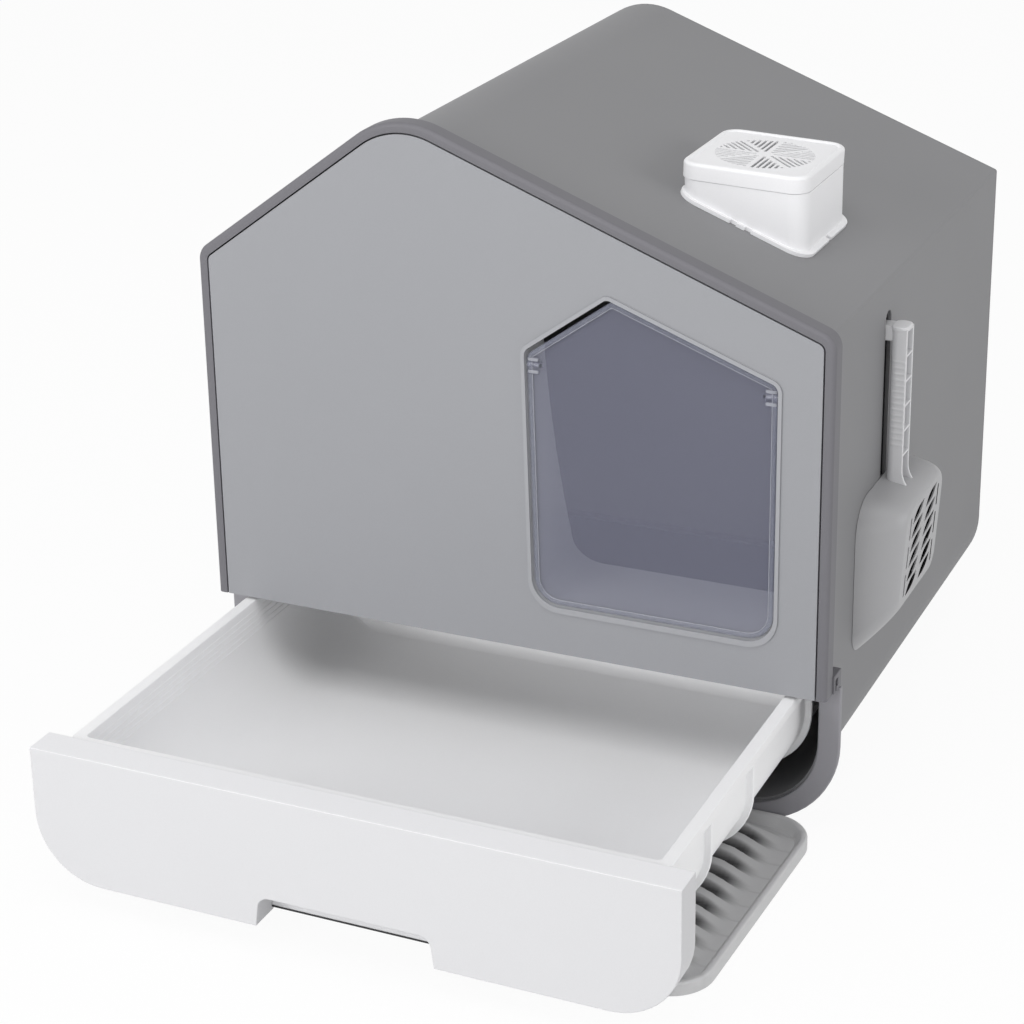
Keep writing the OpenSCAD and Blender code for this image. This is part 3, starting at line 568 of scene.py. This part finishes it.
def piece(name, form, material, body, node, cutters=None, edge=0.0, sharp=38):
    """A finished piece: its form, its slots, its smooth shading and its finish; it rides on a body, and the
    solid it stands for is hidden.
    """
    obj = form_object(name, form)
    if cutters:
        carve(obj, cutters)
    obj.data.polygons.foreach_set("use_smooth", [True] * len(obj.data.polygons))
    obj.data.set_sharp_from_angle(angle=math.radians(sharp))
    obj.data.materials.clear()
    obj.data.materials.append(material)
    if edge:
        bevel = obj.modifiers.new("edge", "BEVEL")
        bevel.width, bevel.segments, bevel.limit_method = edge, 2, "ANGLE"
        bevel.angle_limit = math.radians(sharp)
    obj.modifiers.new("normals", "WEIGHTED_NORMAL").keep_sharp = True
    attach(obj, body)
    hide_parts(node)
    print(name, len(obj.data.vertices), "points for", node)
    return obj


# %% [markdown]
# ## The front frame
# The band around the front isn't a flat strip: its outer edge is rounded over by about three
# millimetres, and a narrow ledge behind it carries the front panel. The same profile runs up the
# left side, over the roof and down the right side.

# %% Front frame
HOUSE = [(-245, 120), (245, 120), (245, 389.4), (-82.4, 517.2), (-245, 396.5)]
EAVE_R, RIDGE_R, ROUND_OVER, BAND_DEEP = 14, 64, 3.2, 14


def house_path(depth_in):
    """The open path from the right foot over the roof to the left foot, drawn in by depth_in."""
    corners = inset(HOUSE, [0, depth_in, depth_in, depth_in, depth_in])
    path = [corners[1]]
    path += corner_arc(corners[1], corners[2], corners[3], EAVE_R - depth_in, 8)
    path += corner_arc(corners[2], corners[3], corners[4], RIDGE_R - depth_in, 20)
    path += corner_arc(corners[3], corners[4], corners[0], EAVE_R - depth_in, 8)
    return path + [corners[0]]


profile = [(0, BAND_DEEP)]
for k in range(7):
    turn = math.radians(15 * k)
    profile.append((ROUND_OVER * (1 - math.cos(turn)), ROUND_OVER * (1 - math.sin(turn))))
profile += [(6.9, 0), (7.35, 0.15), (7.5, 0.6), (7.5, 10), (15.5, 10), (15.5, BAND_DEEP)]
frame_form = ([], [])
paths = [[(p.x, y, p.y) for p in house_path(d)] for d, y in profile]
skin(frame_form, paths, closed=False, around=True)
for end in (0, len(paths[0]) - 1):
    frame_form[1].append(tuple(r * len(paths[0]) + end for r in range(len(paths))))
piece("front_frame_band", frame_form, FRAME_GREY, "house", "front_bezel", sharp=32)

# %% [markdown]
# ## The flap's edge with painted highlights
# The flap's raised edge catches the light, and that highlight is painted: a paler band with a fine
# bright line at its inner side. On each side two short bars guard the pin. They are the same clear
# plastic in paler tones, and ride on the flap.

# %% Painted highlight on the flap's edge
DOORWAY = [(21.4, 157.7), (205.5, 157.7), (205.5, 351.1), (80.4, 398), (17.6, 352.6)]
FLAP_GAPS, FLAP_RADII = [1.3, 1.3, 1.3, 3.3, 1.3], [19.7, 19.7, 5.7, 3.7, 5.7]
EDGE_FRONT, AXIS_Z = 1.8, 341.5
BAND = [(0.1, 0), (0.1, -0.3), (3.4, -0.3), (3.4, 0)]


def flap_ring(d, y):
    """The flap's outline, drawn in by d, at depth y."""
    corners = inset(DOORWAY, [gap + d for gap in FLAP_GAPS])
    return [(p.x, y, p.y) for p in rounded(corners, [r - d for r in FLAP_RADII], 8)]


def flap_trim(name, form, material):
    """A clear piece that lies on the flap and is attached to the flap's body."""
    trim = form_object(name, form)
    trim.data.polygons.foreach_set("use_smooth", [True] * len(trim.data.polygons))
    trim.data.materials.append(material)
    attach(trim, "flap")
    print(name, len(trim.data.vertices), "points")


band_form = ([], [])
skin(band_form, [flap_ring(d, EDGE_FRONT + y) for d, y in BAND], around=True)
flap_trim("flap_edge_highlight_band", band_form, EDGE_HIGHLIGHT_CLEAR)

# %% Painted bright line, and the bars
LINE_IN, LINE_R = 3.6, 0.35
BAR_LEFTS, BAR_STEP, BAR_H, BAR_DEPTHS, BAR_R = (19.2, 195.7), 4.6, 2.4, (1, 4.2), 0.4
BAR_ENDS = ((0, 0.8), (0.3, 0.3), (0.8, 0), (7.7, 0), (8.2, 0.3), (8.5, 0.8))
bar_form = ([], [])
turns = [math.tau * k / 8 for k in range(8)]
# The fine line is a painted highlight: a thin bead in the paler, more opaque pin plastic.
line = [flap_ring(LINE_IN - LINE_R * math.cos(t), EDGE_FRONT - LINE_R * math.sin(t)) for t in turns]
skin(bar_form, line, around=True)
near, far = BAR_DEPTHS
for left in BAR_LEFTS:
    for step in (-BAR_STEP, BAR_STEP):
        low = AXIS_Z + step - BAR_H / 2
        bar_rings = []
        for x, d in BAR_ENDS:
            corners = [(near + d, low + d), (far - d, low + d), (far - d, low + BAR_H - d),
                       (near + d, low + BAR_H - d)]
            bar_rings.append([(left + x, p.x, p.y) for p in rounded(corners, [BAR_R] * 4, 4)])
        skin(bar_form, bar_rings, caps=(True, True))
flap_trim("flap_highlight_line_and_bars", bar_form, PIN_CLEAR)

# %% [markdown]
# ## The deodorizer's lid
# The lid has a rounded top edge, a narrow raised border and a slightly lower face with a round
# grille. The grille has eight sectors, and the slots of a sector lie parallel to one of its edges.

# %% Deodorizer lid
LID_X, LID_Y, LID_Z, LID_TILT = 134, 173.5, 463, math.radians(2.3)
LID_W, LID_L, LID_R, LID_TOP_R = 96, 103, 14, 2.6


def on_lid(x, y, z):
    """A point of the lid, given from the middle of its top."""
    return (LID_X + x * math.cos(LID_TILT) + z * math.sin(LID_TILT), LID_Y + y,
            LID_Z - x * math.sin(LID_TILT) + z * math.cos(LID_TILT))


def lid_ring(d, z):
    """The lid's outline, drawn in by d, at height z from its top."""
    half_w, half_l = LID_W / 2 - d, LID_L / 2 - d
    return [on_lid(p.x, p.y, z) for p in rounded(rectangle(half_w, -half_l, half_l), [LID_R - d] * 4, 10)]


lid_form = ([], [])
lid_profile = [(2.9, -3.2), (2.6, -3.6), (2.5, -12.3), (2.3, -12.5), (0.4, -12.5), (0.1, -12.4), (0, -12.1)]
for k in range(7):
    turn = math.radians(15 * k)
    lid_profile.append((LID_TOP_R * (1 - math.cos(turn)), -LID_TOP_R * (1 - math.sin(turn))))
lid_profile += [(3.4, 0), (4.0, -0.2), (4.8, -1.1), (5.4, -1.3)]
skin(lid_form, [lid_ring(d, z) for d, z in lid_profile], caps=(True, True))
print("lid:", len(lid_profile), "outlines")

# %% Grille and lid
SLOT, PITCH, SPOKE, GRILLE_R, SECTORS, SLOTS = 2.2, 4.0, 1.2, 37.0, 8, 6
SLOT_END_R, SLOT_CUT = 0.9, (-5, 2)
grille = ([], [])
for k in range(SECTORS):
    turn = math.tau * k / SECTORS
    for i in range(SLOTS):
        low = SPOKE + i * PITCH
        high = low + SLOT
        near = high / math.tan(math.tau / SECTORS) + 2 * SPOKE
        far = math.sqrt(GRILLE_R ** 2 - high ** 2)
        ends = rounded([(near, low), (far, low), (far, high), (near, high)], [SLOT_END_R] * 4, 3)
        turned = [(p.x * math.cos(turn) - p.y * math.sin(turn), p.x * math.sin(turn) + p.y * math.cos(turn))
                  for p in ends]
        skin(grille, [[on_lid(x, y, z) for x, y in turned] for z in SLOT_CUT], caps=(True, True))
piece("lid_with_grille", lid_form, DEODORIZER_WHITE, "lid", "deodorizer_lid", grille,
      sharp=40)

# %% [markdown]
# ## The scoop
# The bowl hangs with its mouth against the wall. Its sides turn over into the perforated floor in
# broad curves, the lower end is a ramp, and the heel at the top is nearly square to the wall. The
# sifting slots are leaf shaped. The handle is a round bar, open outwards between cross ribs, with
# fine grip ridges along its side and two flared feet on the heel.

# %% The scoop's bowl
SCOOP_X, SCOOP_Y, SCOOP_Z = 233.8, 164, 109
WALL, FLOOR_SHARE = 2.2, 0.5  # the perforated floor is half as thick as the walls
MOUTH_HALF, MOUTH_HIGH, RAMP_HIGH = 67, 120, 29
LOW_DEEP, MORE_DEEP, SLOPE_FROM, SLOPE_LEN = 28, 5, 34, 75
BOWL_STEPS = 18


def at_scoop(x, y, z):
    """A point of the scoop: x out from the wall, y along it, z up from the bowl's lip."""
    return (SCOOP_X + x, SCOOP_Y + y, SCOOP_Z + z)


def bowl_ring(share, thick):
    """One outline of the bowl: share 0 is the mouth and 1 the floor; thick draws it inwards."""
    out = math.sin(share * math.pi / 2)
    broad = 1 - math.cos(share * math.pi / 2)
    tight = 1 - max(0.0, 1 - out ** 3.2) ** (1 / 3.2)
    half = MOUTH_HALF - 8 * out - 13 * broad - thick
    low = RAMP_HIGH * out + 5 * broad + thick
    high = MOUTH_HIGH - 4 * out - 7 * tight - thick
    upper_r, lower_r = 27 - 13 * out - thick, 16 - 4 * out - thick
    ring = []
    for p in rounded(rectangle(half, low, high), [lower_r, lower_r, upper_r, upper_r], 9):
        slope = min(1, max(0, (p.y - SLOPE_FROM) / SLOPE_LEN))
        depth = LOW_DEEP + MORE_DEEP * slope - FLOOR_SHARE * thick
        ring.append(at_scoop(out * depth, p.x, p.y))
    return ring


scoop_form = ([], [])
shares = [k / BOWL_STEPS for k in range(BOWL_STEPS + 1)]
bowl_rings = [bowl_ring(s, WALL) for s in reversed(shares)] + [bowl_ring(s, 0) for s in shares]
skin(scoop_form, bowl_rings, caps=(True, True))
print("bowl:", len(bowl_rings), "outlines")

# %% The leaves and slits of the sieve
LEAF, LEAF_H, LEAF_FULL, LEAF_LEAN, LEAF_STEPS = 27, 8.8, 5, 0.09, 12
ROWS_UP, ROW, FIRST_ROW, COLUMN = 6, 11.6, 44, 16.8
SLIT_Y, SLIT_HALF, SLIT_R, SLIT_LOW, SLIT_LEN, SLIT_ROW = 35.5, 1.3, 1.2, 40, 18, 23
CUT_THROUGH = (18, 40)
upper = [(LEAF * (k / LEAF_STEPS - 0.5), LEAF_H * ((k / LEAF_STEPS) ** LEAF_FULL - 0.5))
         for k in range(LEAF_STEPS + 1)]
lower = []
for k in range(1, LEAF_STEPS):
    t = 1 - k / LEAF_STEPS
    lower.append((LEAF * (t - 0.5), LEAF_H * (0.5 - (1 - t) ** LEAF_FULL)))
sieve = ([], [])
for side in (-1, 1):
    for i in range(ROWS_UP):
        middle_z = FIRST_ROW + i * ROW
        leaf = [(side * COLUMN + y, middle_z + z + LEAF_LEAN * y) for y, z in upper + lower]
        skin(sieve, [[at_scoop(x, y, z) for y, z in leaf] for x in CUT_THROUGH], caps=(True, True))
    for i in range(3):
        y0, y1 = side * SLIT_Y - SLIT_HALF, side * SLIT_Y + SLIT_HALF
        z0, z1 = SLIT_LOW + i * SLIT_ROW, SLIT_LOW + SLIT_LEN + i * SLIT_ROW
        slit = rounded([(y0, z0), (y1, z0), (y1, z1), (y0, z1)], [SLIT_R] * 4, 4)
        skin(sieve, [[at_scoop(x, p.x, p.y) for p in slit] for x in CUT_THROUGH], caps=(True, True))
print("sieve:", 2 * ROWS_UP, "leaves")

# %% The bowl, with painted shade on its inside
HEART, FACES_IN = (8, 0, 65), -0.3
bowl = piece("scoop_bowl", scoop_form, SCOOP_GREY, "scoop", "scoop", sieve,
             edge=0.0003, sharp=34)
# Faces that look inwards get the near-black painted shade.
bowl.data.materials.append(SCOOP_INSIDE_PAINTED_SHADE)
heart = Vector(metres(*at_scoop(*HEART)))
for face in bowl.data.polygons:
    inwards = face.normal.dot((face.center - heart).normalized()) < FACES_IN
    face.material_index = 1 if inwards else 0

# %% Scoop handle
HANDLE_IN, HANDLE_OUT, HANDLE_HALF, CELL_HALF, CELL_IN = 3.5, 16.5, 9, 7, 6.8
HANDLE_LOW, HANDLE_TOP = 106, 237
handle_outline = [(HANDLE_OUT, -HANDLE_HALF), (HANDLE_IN, -HANDLE_HALF), (HANDLE_IN, HANDLE_HALF),
                  (HANDLE_OUT, HANDLE_HALF), (HANDLE_OUT, CELL_HALF), (CELL_IN, CELL_HALF),
                  (CELL_IN, -CELL_HALF), (HANDLE_OUT, -CELL_HALF)]
bar = rounded(handle_outline, [0.8, 6.3, 6.3, 0.8, 0.6, 1.5, 1.5, 0.6], 7)
GRIP_LOW, GRIP_HIGH, GRIP_PITCH, GRIP_H = 147, 215, 4.6, 0.4
FLARE_TOP, FLARE_OUT, FLARE_CURVE = 129, 15.0, 2.2
RING_STEP = 0.575  # eight outlines for each grip ridge


def handle_ring(z):
    """The handle's outline at height z, with its grip ridges and flared feet."""
    ridge = 0
    if GRIP_LOW < z < GRIP_HIGH:
        ridge = GRIP_H * max(0.0, math.sin(math.tau * (z - GRIP_LOW) / GRIP_PITCH))
    flare = FLARE_OUT * (max(0.0, FLARE_TOP - z) / (FLARE_TOP - HANDLE_LOW)) ** FLARE_CURVE
    ring = []
    for p in bar:
        along = min(1, max(0, (p.x - CELL_IN) / (HANDLE_OUT - CELL_IN)))
        side = 1 if p.y < -7.5 and 5 < p.x < 15.9 else 0
        ring.append(at_scoop(p.x + flare * along, p.y - ridge * side, z))
    return ring


handle_form = ([], [])
heights = [HANDLE_LOW + RING_STEP * k for k in range(int((HANDLE_TOP - HANDLE_LOW) / RING_STEP) + 1)]
skin(handle_form, [handle_ring(z) for z in heights + [HANDLE_TOP]], caps=(True, True))
print("handle:", len(heights) + 1, "outlines")


# %% The handle's cross ribs, cap and tab
def plate(form, x0, x1, half, z0, z1, r, soft=0.5):
    """A level plate with round corners and softened edges, inside or on the handle."""
    rings = []
    for z, d in ((z0, soft), (z0 + soft, 0), (z1 - soft, 0), (z1 - 0.3 * soft, 0.3 * soft), (z1, soft)):
        corners = [(x0 + d, -half + d), (x1 - d, -half + d), (x1 - d, half - d), (x0 + d, half - d)]
        rings.append([at_scoop(p.x, p.y, z) for p in rounded(corners, [r] * 4, 8)])
    skin(form, rings, caps=(True, True))


CELLS, CELL_LOW, RIB = 6, 121, 1.8
for i in range(1, CELLS):
    z = CELL_LOW + i * (HANDLE_TOP - CELL_LOW) / CELLS
    plate(handle_form, CELL_IN - 1, HANDLE_OUT - 0.3, CELL_HALF + 0.5, z - RIB, z, 0.4, 0.3)
plate(handle_form, HANDLE_IN - 0.2, HANDLE_OUT + 0.2, HANDLE_HALF + 0.2, HANDLE_TOP - 2, HANDLE_TOP + 2,
      5.5, 0.9)
TAB_IN, TAB_HALF, TAB_LOW, TAB_TOP = -6, 6.4, 227, 238.6
plate(handle_form, TAB_IN, HANDLE_IN + 2, TAB_HALF, TAB_LOW, TAB_TOP, 1.2, 0.6)
# The handle's paler grey is painted light.
piece("scoop_handle", handle_form, HANDLE_GREY_PAINTED_LIGHT, "scoop", "scoop", sharp=50)

# %% [markdown]
# ## The litter pan
# The pan is one moulded tub. Its inner walls turn into the floor and into each other in broad
# curves and widen in five fine steps below the rim. The rim is a flat band with softened edges,
# and three ribs run round the outside. All of it is one row of level outlines, from the middle of
# the floor up the inside, over the rim and down the outside.

# %% The tub's inside
PAN_FRONT, PAN_BACK, PAN_TOP, PAN_LOW = -243.3, 132.7, 118, 43
RIM_HALF, WALL_HALF, INNER_HALF = 222.5, 217.5, 213
INNER_FRONT, INNER_BACK, FLOOR_TOP = PAN_FRONT + 6, 123.2, 47.5
SIDE_R, INNER_R, END_R, TOP_R = 45, 40.5, 9, 4
STEPS, STEP_LOW, STEP_PITCH, STEP_IN, STEP_UP = 5, 93, 4.4, 0.3, 0.35


def pan_ring(half, y0, y1, r, z):
    """A level outline of the tub at height z."""
    corners = [(-half, y0), (half, y0), (half, y1), (-half, y1)]
    return [(p.x, p.y, z) for p in rounded(corners, [r] * 4, 8)]


levels = []
for k in range(19):
    turn = math.radians(5 * k)
    rise = INNER_R * (1 - math.cos(turn))
    end_in = END_R - math.sqrt(max(0.0, END_R ** 2 - max(0.0, END_R - rise) ** 2)) + STEPS * STEP_IN
    half = INNER_HALF - STEPS * STEP_IN - INNER_R * (1 - math.sin(turn))
    levels.append(pan_ring(half, INNER_FRONT + end_in, INNER_BACK - end_in, TOP_R, FLOOR_TOP + rise))
for k in range(STEPS):
    z = STEP_LOW + STEP_PITCH * k
    for left, up in ((STEPS - k, 0), (STEPS - k - 1, STEP_UP)):
        d = left * STEP_IN
        levels.append(pan_ring(INNER_HALF - d, INNER_FRONT + d, INNER_BACK - d, TOP_R, z + up))
for d, drop in ((0, 1.4), (0.4, 0.4), (1.4, 0)):
    levels.append(pan_ring(INNER_HALF + d, INNER_FRONT - d, INNER_BACK + d, TOP_R + d, PAN_TOP - drop))
print("inside:", len(levels), "outlines")

# %% The rim and the tub's outside
for d, drop in ((1.4, 0), (0.4, 0.4), (0, 1.4), (0, 7.2), (0.5, 8)):
    levels.append(pan_ring(RIM_HALF - d, PAN_FRONT + min(d, 0.4), PAN_BACK - d, 5 - d, PAN_TOP - drop))
levels.append(pan_ring(WALL_HALF + 0.6, PAN_FRONT, PAN_BACK - 4.6, 4, PAN_TOP - 8))
levels.append(pan_ring(WALL_HALF, PAN_FRONT, PAN_BACK - 5, 4, PAN_TOP - 8.8))
for k in range(13):
    turn = math.radians(7.5 * k)
    in_by = SIDE_R * (1 - math.cos(turn))
    levels.append(pan_ring(WALL_HALF - in_by, PAN_FRONT, PAN_BACK - 5 - 0.05 * in_by, 4,
                           PAN_LOW + SIDE_R * (1 - math.sin(turn))))
pan_form = ([], [])
skin(pan_form, levels, caps=(True, True))
print("inside, rim and outside:", len(levels), "outlines")

# %% [markdown]
# ## Ribs, runners and the plate
# Three ribs stiffen the tub's outside, each with a small fillet at its foot. Two runners at the
# back slide on the rails, and a plate closes the hollow drawer front. They go into the tub's own
# form, because the real pan is moulded in one piece with them.

# %% Ribs round the tub
RIB_HIGH = 110.5
RIB = [(-1, -1.5), (0, -2.2), (0.8, -1.6), (4.5, -1.5), (5, -1.0), (5, 1.0), (4.5, 1.5), (0.8, 1.6),
       (0, 2.2), (-1, 1.5)]


def tub_path(out):
    """The open path round the tub's outside, from its right side down and up to its left side."""
    corners = inset(rectangle(WALL_HALF, PAN_LOW, RIB_HIGH), [-out, -out, 0, -out])
    return ([corners[2]] + corner_arc(corners[2], corners[1], corners[0], SIDE_R + out, 12)
            + corner_arc(corners[1], corners[0], corners[3], SIDE_R + out, 12) + [corners[3]])


for rib_y in (-168.8, -86.3, 40.7):
    paths = [[(p.x, rib_y + y, p.y) for p in tub_path(out)] for out, y in RIB]
    skin(pan_form, paths, closed=False, around=True)
    for end in (0, len(paths[0]) - 1):
        first = len(pan_form[0]) - len(paths) * len(paths[0])
        pan_form[1].append(tuple(first + r * len(paths[0]) + end for r in range(len(paths))))
print("with ribs:", len(pan_form[0]), "points")

# %% Runners and front plate
RUNNER_X, RUNNER_HALF, RUNNER_Z, RUNNER_R = 222, 4, (110, 118), 0.8
RUNNER_ENDS = ((18.7, 0.6), (19.3, 0), (132.1, 0), (132.7, 0.6))
PLATE_HALF, PLATE_Z, PLATE_RADII = 235.7, (22.3, 115.7), [46.7, 46.7, 0.5, 0.5]
PLATE_Y = (-246.3, -243.3)
for side in (-1, 1):
    runner = []
    for y, d in RUNNER_ENDS:
        corners = rectangle(RUNNER_HALF - d, RUNNER_Z[0] + d, RUNNER_Z[1] - d)
        runner.append([(side * RUNNER_X + p.x, y, p.y) for p in rounded(corners, [RUNNER_R] * 4, 3)])
    skin(pan_form, runner, caps=(True, True))
plate_outline = rounded(rectangle(PLATE_HALF, *PLATE_Z), PLATE_RADII, 10)
skin(pan_form, [[(p.x, y, p.y) for p in plate_outline] for y in PLATE_Y], caps=(True, True))
print("with runners and plate:", len(pan_form[0]), "points")

# %% The pan, and its plate in the drawer's white
PLATE_BEFORE = -244
# The tub's whiter tone is painted light.
pan = piece("pan_tub", pan_form, PAN_WHITE_PAINTED_LIGHT, "drawer", "drawer_pan", sharp=32)
pan.data.materials.append(DRAWER_WHITE_PAINTED_LIGHT)
for face in pan.data.polygons:
    face.material_index = 1 if face.center.y * 1000 - FRONT_Y < PLATE_BEFORE else 0

# %% [markdown]
# ## The line behind the finger notch
# The drawer front and the plate behind it don't touch quite at the foot of the notch, and the gap
# lies in shade. That shade is painted as a thin dark line: a narrow dark strip at the plate's foot.

# %% Painted shade line
SEAM_HALF, SEAM_Y, SEAM_Z = 66, (-246.7, -246.2), (22.2, 23.5)
seam_form = ([], [])
seam_corners = [(SEAM_Y[0], SEAM_Z[0]), (SEAM_Y[1], SEAM_Z[0]),
                (SEAM_Y[1], SEAM_Z[1]), (SEAM_Y[0], SEAM_Z[1])]
skin(seam_form, [[(x, y, z) for y, z in seam_corners] for x in (-SEAM_HALF, SEAM_HALF)], caps=(True, True))
seam_painted_shade = form_object("notch_seam_painted_shade", seam_form)
# The strip is painted shade.
seam_painted_shade.data.materials.append(PAINTED_SHADE_DARK)
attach(seam_painted_shade, "drawer")
print("dark line:", 2 * SEAM_HALF, "mm long")

# %% [markdown]
# ## The step mat
# The mat has a thin rounded border and tall cross ribs. Each rib's crest drops to the floor in a
# smooth curve before it meets the border, and only a fine line runs on from there.

# %% The mat's border
MAT_BACK, MAT_LEN, MAT_H, MAT_R, BORDER_R = 24.7, 238, 10, 32, 1.8
FRONT_HALF, BACK_HALF = 229, 236
MAT_MID = MAT_BACK - MAT_LEN / 2
MAT_FRONT = MAT_MID - MAT_LEN / 2
MAT = [(-FRONT_HALF, MAT_FRONT), (FRONT_HALF, MAT_FRONT), (BACK_HALF, MAT_BACK), (-BACK_HALF, MAT_BACK)]


def mat_ring(d, z):
    """The mat's outline, drawn in by d, at height z."""
    corners = inset(MAT, [d] * 4)
    return [(p.x, p.y, z) for p in rounded(corners, [MAT_R - d] * 4, 12)]


mat_form = ([], [])
border = [(0.6, 0), (0.1, 0.3), (0, 1)]
for k in range(5):
    turn = math.radians(22.5 * k)
    border.append((BORDER_R * (1 - math.cos(turn)), MAT_H - BORDER_R * (1 - math.sin(turn))))
for k in range(1, 9):
    share = k / 8
    border.append((3.4 + 6 * share, MAT_H - 7 * (1 - math.cos(math.pi * share)) / 2))
border.append((10.5, 1))
skin(mat_form, [mat_ring(d, z) for d, z in border], caps=(True, True))
print("border:", len(border), "outlines")

# %% The shape of a rib
RIB_PITCH, RIB_RISE, FLOOR_Z, RIB_END, END_FADE = 20, 7.4, 3.0, 14, 6
FALL_FROM, FALL_TO, FALL_BACK = 178, 217, 9.0
BANK_LOW, BANK_SPAN = 0.22, 0.46
LINE_HIGH, LINE_WIDE = 0.35, 0.9
EDGE_IN = 8


def half_width(y):
    """Half the width of the mat's floor at depth y, rounded at the corners."""
    share = (y - MAT_FRONT) / MAT_LEN
    half = FRONT_HALF + (BACK_HALF - FRONT_HALF) * share - EDGE_IN
    to_end = min(y - MAT_FRONT, MAT_BACK - y) - EDGE_IN
    r = MAT_R - EDGE_IN
    if to_end < r:
        half -= r - math.sqrt(max(0.0, r * r - (r - to_end) ** 2))
    return half


def rib_shape(x, y):
    """How high the crest stands at this x, how far up its bank the point is, and the fine line."""
    reach = abs(x)
    fall = min(1, max(0, (reach - FALL_FROM) / (FALL_TO - FALL_FROM)))
    crest = RIB_RISE * (1 + math.cos(math.pi * fall)) / 2
    phase = (y - MAT_MID + FALL_BACK * fall * fall) / RIB_PITCH
    wave = 0.5 + 0.5 * math.cos(math.tau * phase)
    bank = min(1, max(0, (wave - BANK_LOW) / BANK_SPAN))
    bank = bank * bank * (3 - 2 * bank)
    off_line = (phase - math.floor(phase) - 0.5) * RIB_PITCH
    fine = LINE_HIGH * fall * math.exp(-((off_line / LINE_WIDE) ** 2))
    ends = min(y - MAT_FRONT, MAT_BACK - y) - RIB_END
    return crest * min(1, max(0, ends / END_FADE)), bank, fine


print("crest, bank and line at the mat's middle:", [round(v, 2) for v in rib_shape(0, MAT_MID)])

# %% The ribbed field
rows = []
ROWS, COLUMNS = 190, 104
for j in range(ROWS + 1):
    y = MAT_FRONT + EDGE_IN + (MAT_LEN - 2 * EDGE_IN) * j / ROWS
    half = half_width(y)
    row = [half * math.sin(math.pi / 2 * (2 * k / COLUMNS - 1)) for k in range(COLUMNS + 1)]
    shapes = [rib_shape(x, y) for x in row]
    rows.append([(x, y, FLOOR_Z + crest * bank - fine) for x, (crest, bank, fine) in zip(row, shapes)])
skin(mat_form, rows, closed=False)
mat = piece("ribbed_mat", mat_form, MAT_GREY, "step_mat", "mat_tray", sharp=60)

# %% [markdown]
# ## Darker grooves
# Little light falls into the narrow grooves between the ribs. Each point keeps how deep it lies
# beside its rib's crest, as an attribute, and the mat's plastic gets darker with it.

# %% Painted shade from the groove depth
GROOVE_FULL, GROOVE_CURVE, LINE_DARK = 1.7, 0.8, 0.4
groove_shade = mat.data.attributes.new("groove_shade", "FLOAT", "POINT")
for point, value in zip(mat.data.vertices, groove_shade.data):
    crest, bank, fine = rib_shape(point.co.x * 1000, point.co.y * 1000 - FRONT_Y)
    value.value = min(1, GROOVE_FULL * crest / RIB_RISE) * (1 - bank) ** GROOVE_CURVE + LINE_DARK * fine
print("groove depth on", len(groove_shade.data), "points")

# %% [markdown]
# ## The sizes
# The box of the dressed model, with the floor left out, is printed.

# %% Sizes
low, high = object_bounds()
print("visual size:", [round(v, 3) for v in high - low])
